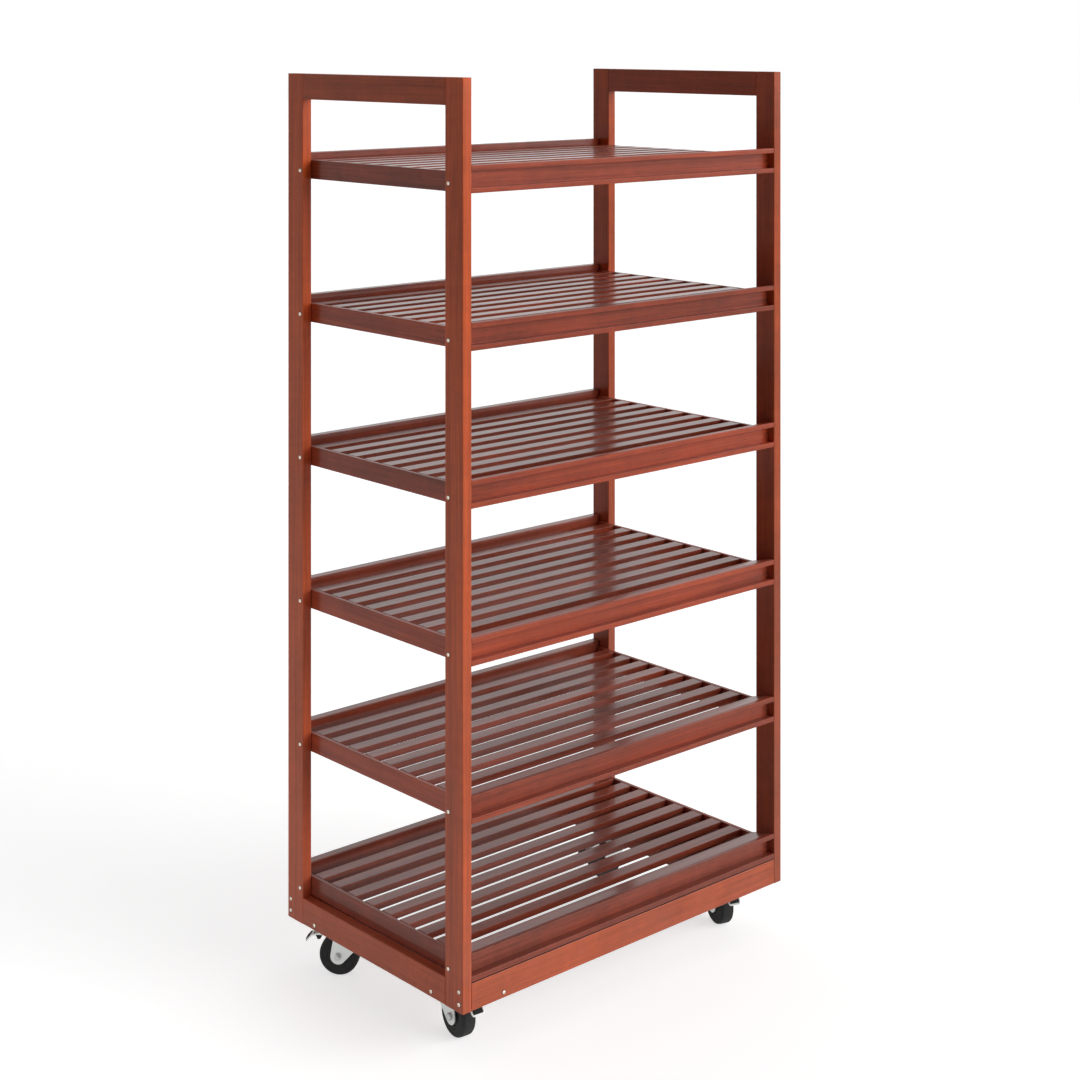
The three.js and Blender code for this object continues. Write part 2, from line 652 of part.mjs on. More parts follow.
function caster(parent, { name, x, y, trail }) {
  const mount = new THREE.Group();
  mount.position.set(x * (RIGHT - CASTER_FROM_SIDE), y * (BACK - CASTER_FROM_FRONT), 0);
  parent.add(mount);
  addPiece(mount, `${name}_caster_plate`, topPlate(), ZINC_STEEL);

  const swivel = new THREE.Group();
  swivel.rotation.z = THREE.MathUtils.degToRad(trail);
  mount.add(swivel);
  addPiece(swivel, `${name}_fork`, fork(), ZINC_STEEL);
  addPiece(swivel, `${name}_axle_bolt`, axleBolt(), BOLT_STEEL);
  addPiece(swivel, `${name}_tyre`, tyre(), BLACK_RUBBER);
  addPiece(swivel, `${name}_hub`, hub(), BLACK_PLASTIC);
  addPiece(swivel, `${name}_brake_lever`, brakeLever(), ZINC_STEEL);
  addPiece(swivel, `${name}_brake_shoe`, brakeShoe(), BLACK_RUBBER);
}

const rack = new THREE.Group();
rack.name = 'bread_rack';
endFrame(rack, 'left', LEFT, LEFT + STOCK_THICKNESS);
endFrame(rack, 'right', RIGHT, RIGHT - STOCK_THICKNESS);
base(rack);
for (let number = 1; number <= SHELF_COUNT; number += 1) {
  shelf(rack, number);
}
for (const place of CASTERS) {
  caster(rack, place);
}

export default rack;
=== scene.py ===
"""Looks of a rolling wooden bread rack, modelled around the frame of its CAD source."""

import json
import math
import random

import bmesh
import bpy
from mathutils import Matrix, Vector


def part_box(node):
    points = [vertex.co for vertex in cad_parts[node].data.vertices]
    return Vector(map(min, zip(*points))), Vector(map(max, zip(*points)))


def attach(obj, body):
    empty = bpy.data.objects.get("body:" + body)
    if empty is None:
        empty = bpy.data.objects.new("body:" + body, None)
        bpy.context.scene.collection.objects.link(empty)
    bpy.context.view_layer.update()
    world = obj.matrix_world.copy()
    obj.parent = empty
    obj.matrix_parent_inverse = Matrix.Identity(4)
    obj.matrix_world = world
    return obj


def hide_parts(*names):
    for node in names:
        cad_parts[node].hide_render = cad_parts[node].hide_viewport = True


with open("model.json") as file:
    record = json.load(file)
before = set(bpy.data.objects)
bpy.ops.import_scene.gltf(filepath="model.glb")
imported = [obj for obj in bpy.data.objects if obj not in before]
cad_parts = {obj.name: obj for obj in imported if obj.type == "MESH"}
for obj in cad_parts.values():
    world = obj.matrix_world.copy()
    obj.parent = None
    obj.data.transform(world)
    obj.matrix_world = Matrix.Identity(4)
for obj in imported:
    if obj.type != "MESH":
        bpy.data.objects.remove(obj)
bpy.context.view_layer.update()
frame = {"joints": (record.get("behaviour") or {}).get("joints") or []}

bl_info = {
    "name": "Bread Rack",
    "version": (1, 0, 0),
    "blender": (4, 5, 0),
    "location": "3D View > Sidebar > Bread Rack",
    "description": "Builds the boards, shelves, screws, casters and stage of a bakery bread rack",
    "category": "Object",
}

MM = 0.001
X, Y, Z = 0, 1, 2
SIDES = ("left", "right")
ENDS = ("front", "back")
CORNERS = ("front_left", "front_right", "back_left", "back_right")
SHELVES = range(1, 7)
OUTWARD = {
    "left": Vector((-1, 0, 0)),
    "right": Vector((1, 0, 0)),
    "front": Vector((0, -1, 0)),
    "back": Vector((0, 1, 0)),
}

# Depth of stain, from 0 at the darkest to 1 at the lightest, of the boards that stand out
BOARD_TONES = {
    "left_front_post_board": 0.9,
    "left_back_post_board": 0.9,
    "left_top_rail_board": 0.1,
    "left_bottom_rail_board": 0.9,
    "right_top_rail_board": 0.0,
    "right_front_post_board": 0.1,
    "right_back_post_board": 0.3,
    "front_base_rail_board": 0.5,
    "shelf_1_front_rail": 0.0,
    "shelf_2_front_rail": 0.3,
    "shelf_5_front_rail": 0.15,
    "shelf_6_front_rail": 0.6,
    "shelf_1_left_side_rail": 0.0,
    "shelf_2_left_side_rail": 0.9,
    "shelf_3_left_side_rail": 1.0,
    "shelf_5_left_side_rail": 0.8,
    "shelf_6_left_side_rail": 0.0,
}

# Letter of each axis that a board's grain can run along, and the turn that lays it along X
GRAIN_LETTERS = {X: "x", Y: "y", Z: "z"}
GRAIN_TURNS = {
    X: (0.0, 0.0, 0.0),
    Y: (0.0, 0.0, -math.pi / 2),
    Z: (0.0, math.pi / 2, 0.0),
}

# Finish of each kind of board: how much of its colour dark grain keeps, its lacquer, and how
# strong the painted light from the floor is on it
WOOD_FINISHES = {
    "frame": {"shade": 0.55, "lacquer": 0.22, "floor_light": 0.11},
    "front": {"shade": 0.4, "lacquer": 0.36, "floor_light": 0.06},
    "deck": {"shade": 0.4, "lacquer": 0.66, "floor_light": 0.03},
    "board": {"shade": 0.5, "lacquer": 0.35, "floor_light": 0.05},
    # Painted shade: the dark rings round the screw heads and the dark strips over the base rails
    "bore": {"shade": 0.8, "lacquer": 0.2, "floor_light": 0.0},
}

# Axes that the grain runs along in the boards of each family
WOOD_GRAINS = {"frame": (X, Y, Z), "front": (X, Y), "deck": (X,)}

# Colours of the painted light from the floor on the wood, and of the dust that lies on steel and
# on rubber
FLOOR_LIGHT_COLOUR = (0.5, 0.45, 0.43, 1.0)
STEEL_DUST = (0.3, 0.28, 0.26, 1.0)
RUBBER_DUST = (0.16, 0.15, 0.135, 1.0)

# Heights in metres between which the painted light from the floor on the wood thins out
FLOOR_LIGHT_FULL, FLOOR_LIGHT_NONE = 0.1, 1.3

# Colour of the stage's light and background
WHITE = (1.0, 1.0, 1.0, 1.0)

# Places of the colour sockets on a Mix node, which share their names with other sockets
MIX_FIRST, MIX_SECOND, MIX_RESULT = 6, 7, 2

# Places read from the frame
JOINT_PLACES = {joint["name"]: Vector(joint["pos_m"]) for joint in frame["joints"]}
SWIVEL_TO_AXLE = JOINT_PLACES["front_left_wheel_spin"] - JOINT_PLACES["front_left_swivel"]
SWIVEL_TO_BRAKE = JOINT_PLACES["front_left_brake_press"] - JOINT_PLACES["front_left_swivel"]
TRAIL = SWIVEL_TO_AXLE.xy.length
AXLE_HEIGHT = JOINT_PLACES["front_left_wheel_spin"].z
BRAKE_REACH = SWIVEL_TO_BRAKE.xy.length
BRAKE_HEIGHT = JOINT_PLACES["front_left_brake_press"].z
JOINT_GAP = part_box("front_base_rail")[0].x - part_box("left_front_post")[1].x
PLATE_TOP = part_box("front_left_caster_plate")[1].z

# Section of a shelf's front rail, from its front face and underside
CHANNEL_DEPTH = 15 * MM
CHANNEL_LIP = 9 * MM
TOP_LAND = 8 * MM
WEB_BACK = 27 * MM
FIN_THICKNESS = 12 * MM
SLAT_LEVEL = 34 * MM

# Side rails of a slat deck
SIDE_RAIL_WIDTH = 19 * MM
SIDE_RAIL_RIM = 7 * MM
SLAT_END_GAP = 0.5 * MM

# Roundings of some pieces, as shares of those in the settings
MOULDING_ROUNDING_SHARE = 0.6
SIDE_RAIL_ROUNDING_SHARE = 0.5
SLAT_END_ROUNDING_SHARE = 3
AXLE_BOLT_ROUNDING_SHARE = 0.4
LEVER_ROUNDING_SHARE = 0.75

# Painted shadow: a dark strip put in the empty gap between a base rail and the bottom shelf
SHADOW_STRIP_INSET = 0.8 * MM
SHADOW_STRIP_DROP = 0.8 * MM
SHADOW_STRIP_BITE = 0.2 * MM

# Where the screws sit, from the outer edges of the boards that they go through
POST_SCREW_INSET = {"front": 37 * MM, "back": 38 * MM}
POST_SCREW_RISE = 15.5 * MM
BASE_SCREW_INSET = 9.5 * MM
BASE_SCREW_RISES = (13.5 * MM, 34 * MM)
BOARD_SCREW_RISE = 9.5 * MM
BOARD_SCREW_INSET = {"side": 82 * MM, "front": 88 * MM}
NAIL_INSET = 8 * MM
NAIL_RISE = 20 * MM

# Ends of the base rails that have a screw, 1 at the left and -1 at the right
BASE_SCREW_SIDES = {"front": (1,), "back": (1, -1)}

# Heads of the screws and nails, with the dome and the recess as shares of a screw's height
SCREW_DOME = 0.85
RECESS_FLOOR = 0.35
NAIL_HEIGHT = 0.4 * MM
# Height of the dark disc of painted shade round each screw head
SHADE_RING_HEIGHT = 0.2 * MM

# Top plate of a caster
PLATE_SIZE = 62 * MM
PLATE_CORNER = 9 * MM
PLATE_THICKNESS = 2.5 * MM
PLATE_HOLE_OFFSET = 23 * MM
PLATE_HOLES = [Vector((x, y)) * PLATE_HOLE_OFFSET for x in (-1, 1) for y in (-1, 1)]
PLATE_HOLE_RADIUS = 3 * MM
RACE_RADIUS = 23 * MM
RACE_DEPTH = 5.4 * MM
RACE_ROUNDING = 2 * MM
KING_PIN_RADIUS = 5 * MM
KING_PIN_HEAD_RADIUS = 8 * MM
KING_PIN_HEAD_HEIGHT = 3.5 * MM
KING_PIN_HEAD_ROUNDING = 1 * MM

# Fork of a caster, drawn about its swivel axis with the wheel trailing towards +X
FORK_STEEL = 2.5 * MM
FORK_INSIDE = 30 * MM
FORK_BEND = 3 * MM
FORK_FRONT = -22 * MM
FORK_FRONT_DROP = 8 * MM
FORK_FRONT_CORNER = 12 * MM
FORK_FOOT_RADIUS = 14 * MM
FORK_BACK_TOP = TRAIL + 7 * MM
TONGUE_WIDTH = 14 * MM
TONGUE_ROOT = 4 * MM
PLATE_UNDERSIDE = PLATE_TOP - PLATE_THICKNESS
CROWN_TOP = PLATE_UNDERSIDE - RACE_DEPTH - JOINT_GAP
CROWN_UNDERSIDE = CROWN_TOP - FORK_STEEL
FORK_OUTSIDE = FORK_INSIDE + 2 * FORK_STEEL

# Wheel
WHEEL_RADIUS = AXLE_HEIGHT
TYRE_WIDTH = 25 * MM
TYRE_SHOULDER = 4.5 * MM
TYRE_FACE_STEP = 1 * MM
TYRE_FACE_SLOPE = 3 * MM
TYRE_CROWN = 0.25 * MM
TYRE_FLAT = 0.15 * TYRE_WIDTH
TYRE_GROOVE = {"radius": 29 * MM, "width": 1.4 * MM, "depth": 0.5 * MM}
HUB_RADIUS = 20 * MM
HUB_BOSS_RADIUS = 9 * MM
HUB_BOSS_LENGTH = 29 * MM
HUB_FACE_RECESS = 2.5 * MM
HUB_RIM_WALL = 2.4 * MM
HUB_DRAFT = 0.7 * MM
HUB_ROUNDING = 0.3 * MM

# Axle bolt
AXLE_RADIUS = 4 * MM
AXLE_HEX_RADIUS = 6.4 * MM
AXLE_HEAD_RADIUS = 0.97 * AXLE_HEX_RADIUS
AXLE_HEAD_HEIGHT = 4.5 * MM
AXLE_HEAD_CHAMFER = 0.9 * MM
AXLE_TAIL = 2.2 * MM

# Brake lever and shoe, drawn about the brake pivot
BRAKE_EYE_RADIUS = 4.5 * MM
BRAKE_PIN_RADIUS = 2.2 * MM
BRAKE_PIN_TAIL = 0.8 * MM
LEVER_TILT = math.radians(16)
LEVER_STEEL = 2.5 * MM
LEVER_START = 5 * MM
LEVER_BEND = 24 * MM
LEVER_BEND_RADIUS = 2 * MM
LIP_LENGTH = 16 * MM
LIP_DROP = math.radians(32)
LEVER_WIDTH = 24 * MM
LEVER_UNDERSIDE = 1 * MM
LEVER_CORNER = 6 * MM
CHEEK_THICKNESS = 2 * MM
CHEEK_REACH = 15 * MM
LEVER_RIBS = {"count": 3, "first": 11 * MM, "pitch": 4.5 * MM}
LEVER_RIB_SIZE = Vector((1.6, 16, 0.8)) * MM
PAD_LOW = Vector((2, -9.5, 2.3)) * MM
PAD_HIGH = Vector((13.5, 9.5, 3.7)) * MM
PAD_RIBS = {"count": 3, "first": 4.2 * MM, "pitch": 3.6 * MM}
PAD_RIB_SIZE = Vector((1.7, 17.1, 1)) * MM
PAD_RIB_ROOT = 0.5 * MM
PAD_ROUNDING = 0.4 * MM
SHOE_TOP = {"height": 0.7 * MM, "start": 9 * MM, "end": 19 * MM}
SHOE_BOTTOM = {"height": -9.5 * MM, "start": 11.5 * MM, "end": 17 * MM}
SHOE_WIDTH = 13.4 * MM
SHOE_ROUNDING = 0.9 * MM

# How far a cutting shape runs past what it cuts, and how near counts as touching
RUN_PAST = 1 * MM
TOUCHING = 0.1 * MM

# Share of an edge's length along an axis past which the two count as parallel
PARALLEL = 0.999

# Distances under which corners are merged, after a cut and after a turn
CUT_MERGE = 0.03 * MM
TURN_MERGE = 0.01 * MM

# Angles between faces: past which an edge is eased or stays sharp, and under which it goes
EASED_ANGLE = math.radians(35)
SHARP_ANGLE = math.radians(50)
FLAT_ANGLE = math.radians(0.5)

# Facing at which the fill light starts to grow, where 1 is straight towards it
FILL_START = -0.15

# Thickness of the stage's floor
FLOOR_THICKNESS = 20 * MM


# Settings


class WoodSettings(bpy.types.PropertyGroup):
    """Boards, slats and their stain."""

    edge_rounding: bpy.props.FloatProperty(
        name="Edge Rounding",
        description="Radius along the long edges of the boards",
        default=1.5 * MM,
        unit="LENGTH",
    )
    end_rounding: bpy.props.FloatProperty(
        name="End Rounding",
        description="Radius round the sawn ends of the boards",
        default=0.4 * MM,
        unit="LENGTH",
    )
    slat_rounding: bpy.props.FloatProperty(
        name="Slat Rounding",
        description="Radius along the long edges of the slats",
        default=0.6 * MM,
        unit="LENGTH",
    )
    slat_count: bpy.props.IntProperty(
        name="Slats",
        description="Slats on each shelf",
        default=8,
    )
    slat_width: bpy.props.FloatProperty(
        name="Slat Width",
        description="Width of a slat",
        default=25.5 * MM,
        unit="LENGTH",
    )
    slat_thickness: bpy.props.FloatProperty(
        name="Slat Thickness",
        description="Thickness of a slat",
        default=11 * MM,
        unit="LENGTH",
    )
    frame_stain: bpy.props.FloatVectorProperty(
        name="Frame Stain",
        description="Colour of the stain on the end frames and the rails round the base",
        default=(0.52, 0.082, 0.018),
        subtype="COLOR",
    )
    front_stain: bpy.props.FloatVectorProperty(
        name="Front Stain",
        description="Colour of the stain on the front and side rails of the shelves",
        default=(0.38, 0.056, 0.018),
        subtype="COLOR",
    )
    # The deck's stain colour, darkened below the frame's as painted shade of the shelves above on
    # the slats and back rails
    shaded_deck_stain: bpy.props.FloatVectorProperty(
        name="Deck Stain",
        description="Colour of the stain on the slats and on the back rails of the shelves",
        default=(0.24, 0.037, 0.014),
        subtype="COLOR",
    )
    board_stain: bpy.props.FloatVectorProperty(
        name="Board Stain",
        description="Colour of the stain on the boards that carry the casters",
        default=(0.24, 0.042, 0.018),
        subtype="COLOR",
    )
    # Colour of the painted shade: the dark rings round the screw heads and the dark strips over
    # the base rails
    bore_stain: bpy.props.FloatVectorProperty(
        name="Bore Stain",
        description="Colour of the wood round the screws",
        default=(0.05, 0.012, 0.008),
        subtype="COLOR",
    )


class ScrewSettings(bpy.types.PropertyGroup):
    """Screws and nails."""

    head_radius: bpy.props.FloatProperty(
        name="Head Radius",
        description="Radius of a screw's domed head",
        default=3.3 * MM,
        unit="LENGTH",
    )
    head_height: bpy.props.FloatProperty(
        name="Head Height",
        description="How far a screw's head stands proud",
        default=1.7 * MM,
        unit="LENGTH",
    )
    # The dark ring is painted shade round each screw head, standing in for the shade of a
    # counterbore
    shade_ring_radius: bpy.props.FloatProperty(
        name="Bore Radius",
        description="Radius of the dark ring of bare grain round a screw's head",
        default=4.2 * MM,
        unit="LENGTH",
    )
    recess_length: bpy.props.FloatProperty(
        name="Recess Length",
        description="Length of the cross recess in a screw's head",
        default=3.8 * MM,
        unit="LENGTH",
    )
    recess_width: bpy.props.FloatProperty(
        name="Recess Width",
        description="Width of the cross recess in a screw's head",
        default=0.9 * MM,
        unit="LENGTH",
    )
    nail_radius: bpy.props.FloatProperty(
        name="Nail Radius",
        description="Radius of the nail heads in the label channels",
        default=1.5 * MM,
        unit="LENGTH",
    )
    screw: bpy.props.FloatVectorProperty(
        name="Screw",
        description="Colour of the screws",
        default=(0.8, 0.7, 0.6),
        subtype="COLOR",
    )
    nail: bpy.props.FloatVectorProperty(
        name="Nail",
        description="Colour of the nails in the label channels",
        default=(0.05, 0.042, 0.036),
        subtype="COLOR",
    )


class CasterSettings(bpy.types.PropertyGroup):
    """Casters and their finishes."""

    edge_rounding: bpy.props.FloatProperty(
        name="Edge Rounding",
        description="Radius on the edges of the pressed steel",
        default=0.4 * MM,
        unit="LENGTH",
    )
    wheel_steps: bpy.props.IntProperty(
        name="Wheel Steps",
        description="Steps around a wheel",
        default=96,
    )
    zinc: bpy.props.FloatVectorProperty(
        name="Zinc",
        description="Colour of the plated steel",
        default=(0.62, 0.64, 0.62),
        subtype="COLOR",
    )
    bolt: bpy.props.FloatVectorProperty(
        name="Bolt",
        description="Colour of the axle bolts",
        default=(0.56, 0.57, 0.56),
        subtype="COLOR",
    )
    rubber: bpy.props.FloatVectorProperty(
        name="Rubber",
        description="Colour of the tyres and brake shoes",
        default=(0.016, 0.016, 0.016),
        subtype="COLOR",
    )
    plastic: bpy.props.FloatVectorProperty(
        name="Plastic",
        description="Colour of the wheel hubs",
        default=(0.013, 0.013, 0.014),
        subtype="COLOR",
    )


class StageSettings(bpy.types.PropertyGroup):
    """Floor, light and camera."""

    floor_colour: bpy.props.FloatVectorProperty(
        name="Floor",
        description="Colour of the floor",
        default=(0.72, 0.72, 0.72),
        subtype="COLOR",
    )
    floor_lift: bpy.props.FloatProperty(
        name="Floor Lift",
        description="White that the camera sees added to the floor",
        default=0.64,
    )
    floor_size: bpy.props.FloatProperty(
        name="Floor Size",
        description="Width of the floor",
        default=80.0,
        unit="LENGTH",
    )
    ambient: bpy.props.FloatProperty(
        name="Ambient",
        description="Strength of the soft light on the side away from the fill",
        default=0.02,
    )
    fill_strength: bpy.props.FloatProperty(
        name="Fill",
        description="Strength of the soft light on the side of the fill",
        default=0.65,
    )
    fill_turn: bpy.props.FloatVectorProperty(
        name="Fill Direction",
        description="Direction towards the fill light",
        default=(0.62, 0.55, 0.56),
        subtype="DIRECTION",
    )
    key_strength: bpy.props.FloatProperty(
        name="Key",
        description="Strength of the soft light from the front right",
        default=3.2,
    )
    key_turn: bpy.props.FloatVectorProperty(
        name="Key Direction",
        description="Direction towards the key light",
        default=(0.52, -0.83, 0.22),
        subtype="DIRECTION",
    )
    key_softness: bpy.props.FloatProperty(
        name="Key Softness",
        description="Angle that the key light covers",
        default=math.radians(60),
        subtype="ANGLE",
    )
    card_strength: bpy.props.FloatProperty(
        name="Card",
        description="Power of the low card that throws light on the left end",
        default=2.7,
        unit="POWER",
    )
    card_place: bpy.props.FloatVectorProperty(
        name="Card Place",
        description="Middle of the card",
        default=(-1.45, 0.2, 0.2),
        subtype="TRANSLATION",
        unit="LENGTH",
    )
    card_size: bpy.props.FloatVectorProperty(
        name="Card Size",
        description="Height and length of the card",
        default=(0.3, 0.8),
        size=2,
        subtype="XYZ_LENGTH",
        unit="LENGTH",
    )
    camera_place: bpy.props.FloatVectorProperty(
        name="Camera Place",
        description="Where the camera stands",
        default=(-2.4715, -2.7594, 1.678),
        subtype="TRANSLATION",
        unit="LENGTH",
    )
    camera_turn: bpy.props.FloatProperty(
        name="Camera Turn",
        description="How far the camera is turned to the right of the depth axis",
        default=math.radians(41.8645),
        subtype="ANGLE",
    )
    camera_drop: bpy.props.FloatProperty(
        name="Camera Drop",
        description="How far the middle of the picture drops for each metre away from the camera",
        default=0.25167,
    )
    lens: bpy.props.FloatProperty(
        name="Lens",
        description="Focal length in millimetres",
        default=68.957,
    )


# Modelling helpers


def pick(*pieces):
    """Selects these pieces alone and makes the first one active."""
    bpy.ops.object.select_all(action="DESELECT")
    for piece in pieces:
        piece.select_set(True)
    bpy.context.view_layer.objects.active = pieces[0]


def add_block(name, low, high):
    """A box between two corners, with its place in its mesh."""
    bpy.ops.object.select_all(action="DESELECT")
    bpy.ops.mesh.primitive_cube_add(size=1, location=(low + high) / 2, scale=high - low)
    bpy.ops.object.transform_apply(location=True, rotation=True, scale=True)
    block = bpy.context.object
    block.name = name
    return block


def add_prism(name, outline, along, start, end):
    """A closed outline, drawn in the two other axes, pushed along one axis."""
    across, up = [axis for axis in (X, Y, Z) if axis != along]
    bpy.ops.object.select_all(action="DESELECT")
    bpy.ops.mesh.primitive_circle_add(vertices=len(outline), fill_type="NGON")
    prism = bpy.context.object
    prism.name = name
    for vertex, point in zip(prism.data.vertices, outline):
        vertex.co[across], vertex.co[up] = point
        vertex.co[along] = start
    push = Vector()
    push[along] = end - start
    bpy.ops.object.mode_set(mode="EDIT")
    bpy.ops.mesh.select_all(action="SELECT")
    bpy.ops.mesh.extrude_region_move(TRANSFORM_OT_translate={"value": push})
    bpy.ops.mesh.select_all(action="SELECT")
    bpy.ops.mesh.normals_make_consistent(inside=False)
    bpy.ops.object.mode_set(mode="OBJECT")
    return prism


def add_turned(name, outline, steps):
    """A closed outline of (radius, distance across) turned about the wheel's axle."""
    centre = Vector((TRAIL, 0, AXLE_HEIGHT))
    bpy.ops.object.select_all(action="DESELECT")
    bpy.ops.mesh.primitive_circle_add(vertices=len(outline), fill_type="NOTHING")
    turned = bpy.context.object
    turned.name = name
    for vertex, (radius, across) in zip(turned.data.vertices, outline):
        vertex.co = centre + Vector((radius, across, 0))
    bpy.ops.object.mode_set(mode="EDIT")
    bpy.ops.mesh.select_all(action="SELECT")
    bpy.ops.mesh.spin(steps=steps, angle=2 * math.pi, center=centre, axis=(0, 1, 0))
    bpy.ops.mesh.select_all(action="SELECT")
    bpy.ops.mesh.remove_doubles(threshold=TURN_MERGE)
    bpy.ops.mesh.normals_make_consistent(inside=False)
    bpy.ops.object.mode_set(mode="OBJECT")
    return turned


def arc(centre, radius, start, end, steps=8):
    """Points along an arc, both ends included."""
    angles = [start + (end - start) * step / steps for step in range(steps + 1)]
    return [(centre[0] + radius * math.cos(a), centre[1] + radius * math.sin(a)) for a in angles]


def circle(centre, radius, corners=32):
    """Corners of a closed round or many-sided outline."""
    return arc(centre, radius, 0, 2 * math.pi, corners)[:-1]


def rounded_rectangle(low, high, corner):
    """An outline with four round corners."""
    turns = (
        ((high[0] - corner, low[1] + corner), -90),
        ((high[0] - corner, high[1] - corner), 0),
        ((low[0] + corner, high[1] - corner), 90),
        ((low[0] + corner, low[1] + corner), 180),
    )
    outline = []
    for centre, start in turns:
        first = math.radians(start)
        outline += arc(centre, corner, first, first + math.pi / 2)
    return outline


def combine(piece, tool, operation):
    """Joins, cuts or trims a piece by another one, which is then removed."""
    modifier = piece.modifiers.new("combine", "BOOLEAN")
    modifier.operation = operation
    modifier.object = tool
    modifier.solver = "EXACT"
    pick(piece)
    bpy.ops.object.modifier_apply(modifier=modifier.name)
    bpy.data.objects.remove(tool)


def runs_along(edge, axis):
    """Whether an edge is parallel to an axis."""
    first, second = edge.verts
    return abs((second.co - first.co).normalized()[axis]) > PARALLEL


def round_edges(piece, radius, chosen, segments=3):
    """Rounds the chosen edges over and marks the new strips in the edge attribute."""
    pick(piece)
    bpy.ops.object.mode_set(mode="EDIT")
    bpy.ops.mesh.select_mode(type="EDGE")
    bpy.ops.mesh.select_all(action="DESELECT")
    mesh = bmesh.from_edit_mesh(piece.data)
    for edge in filter(chosen, mesh.edges):
        edge.select_set(True)
    bmesh.update_edit_mesh(piece.data)
    bpy.ops.mesh.bevel(offset=radius, segments=segments, profile=0.5, affect="EDGES")
    mesh = bmesh.from_edit_mesh(piece.data)
    layers = mesh.verts.layers.float
    # The marked strips come out lighter in the wood: partly stain worn thin, partly a painted
    # highlight
    worn_and_highlit = layers.get("edge") or layers.new("edge")
    for vertex in mesh.verts:
        if all(face.select for face in vertex.link_faces):
            vertex[worn_and_highlit] = 1.0
    bmesh.update_edit_mesh(piece.data)
    bpy.ops.object.mode_set(mode="OBJECT")


def smooth_faces(piece):
    """Smooths the rounded strips and keeps the wide faces flat."""
    pick(piece)
    bpy.ops.object.shade_smooth_by_angle(angle=SHARP_ANGLE)
    modifier = piece.modifiers.new("flat_faces", "WEIGHTED_NORMAL")
    modifier.keep_sharp = True
    bpy.ops.object.modifier_apply(modifier=modifier.name)


def ease_edges(piece, radius, segments=2):
    """Takes the sharpness off every hard edge of a piece and smooths it."""
    modifier = piece.modifiers.new("ease", "BEVEL")
    modifier.width = radius
    modifier.segments = segments
    modifier.limit_method = "ANGLE"
    modifier.angle_limit = EASED_ANGLE
    modifier.use_clamp_overlap = False
    pick(piece)
    bpy.ops.object.modifier_apply(modifier=modifier.name)
    smooth_faces(piece)
    return piece


def merge_close(piece):
    """Merges corners that a cut left almost touching, and faces that it left in one plane."""
    pick(piece)
    bpy.ops.object.mode_set(mode="EDIT")
    bpy.ops.mesh.select_all(action="SELECT")
    bpy.ops.mesh.remove_doubles(threshold=CUT_MERGE)
    bpy.ops.mesh.dissolve_limited(angle_limit=FLAT_ANGLE)
    bpy.ops.object.mode_set(mode="OBJECT")


def copy_piece(piece, name, matrix):
    """A copy with its own mesh, put in place in that mesh."""
    copy = piece.copy()
    copy.data = piece.data.copy()
    copy.name = name
    bpy.context.scene.collection.objects.link(copy)
    copy.data.transform(matrix)
    return copy


def join_pieces(name, pieces):
    """One piece out of several."""
    pick(*pieces)
    bpy.ops.object.join()
    pieces[0].name = name
    pieces[0].data.name = name
    return pieces[0]


def discard(*patterns):
    """Removes pieces that were modelled only to be copied."""
    for pattern in patterns:
        bpy.data.objects.remove(pattern)


def set_tone(piece, key):
    """Stores a board's own number, which picks its stretch of grain and its depth of stain."""
    tone = piece.data.attributes.get("tone")
    if tone is None:
        tone = piece.data.attributes.new("tone", "FLOAT", "POINT")
    value = BOARD_TONES.get(key, random.Random(key).random())
    tone.data.foreach_set("value", [value] * len(piece.data.vertices))


def dress(piece, material, body, nodes=()):
    """Gives a piece its finish and lets it ride on a body in place of its CAD nodes."""
    piece.data.materials.clear()
    piece.data.materials.append(material)
    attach(piece, body)
    if nodes:
        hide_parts(*nodes)


# Shader helpers


def feed(tree, node, inputs):
    """Links or sets each named input of a node."""
    for socket, value in inputs.items():
        if isinstance(value, bpy.types.NodeSocket):
            tree.links.new(value, node.inputs[socket])
        else:
            node.inputs[socket].default_value = value


def place(tree, kind, inputs, **settings):
    """Adds a node with its settings and inputs."""
    node = tree.nodes.new(kind)
    for name, value in settings.items():
        setattr(node, name, value)
    feed(tree, node, inputs)
    return node


def calculate(tree, operation, first, second=0.0, third=0.0):
    """The result of a sum on up to three values."""
    node = place(tree, "ShaderNodeMath", {0: first, 1: second, 2: third}, operation=operation)
    return node.outputs[0]


def add_up(tree, start, *terms):
    """A start with some values added to it, each times its own weight."""
    total = start
    for value, weight in terms:
        total = calculate(tree, "MULTIPLY_ADD", value, weight, total)
    return total


def remap(tree, value, low, high, to_low=0.0, to_high=1.0):
    """A value moved from one range to another and held inside it."""
    inputs = {
        "Value": value,
        "From Min": low,
        "From Max": high,
        "To Min": to_low,
        "To Max": to_high,
    }
    return place(tree, "ShaderNodeMapRange", inputs).outputs[0]


def mix_colour(tree, factor, first, second):
    """A colour between two others."""
    inputs = {"Factor": factor, MIX_FIRST: first, MIX_SECOND: second}
    return place(tree, "ShaderNodeMix", inputs, data_type="RGBA").outputs[MIX_RESULT]


def scale_vector(tree, vector, scale):
    """A vector or colour scaled by a number or by each of three numbers."""
    if isinstance(scale, tuple):
        inputs, operation = {0: vector, 1: scale}, "MULTIPLY"
    else:
        inputs, operation = {0: vector, "Scale": scale}, "SCALE"
    return place(tree, "ShaderNodeVectorMath", inputs, operation=operation).outputs[0]


def noise(tree, vector, scale, detail=2.0, roughness=0.5, distortion=0.0):
    """Noise with a number of waves per metre, or with one for each axis."""
    inputs = {
        "Vector": scale_vector(tree, vector, scale),
        "Scale": 1.0,
        "Detail": detail,
        "Roughness": roughness,
        "Distortion": distortion,
    }
    return place(tree, "ShaderNodeTexNoise", inputs).outputs[0]


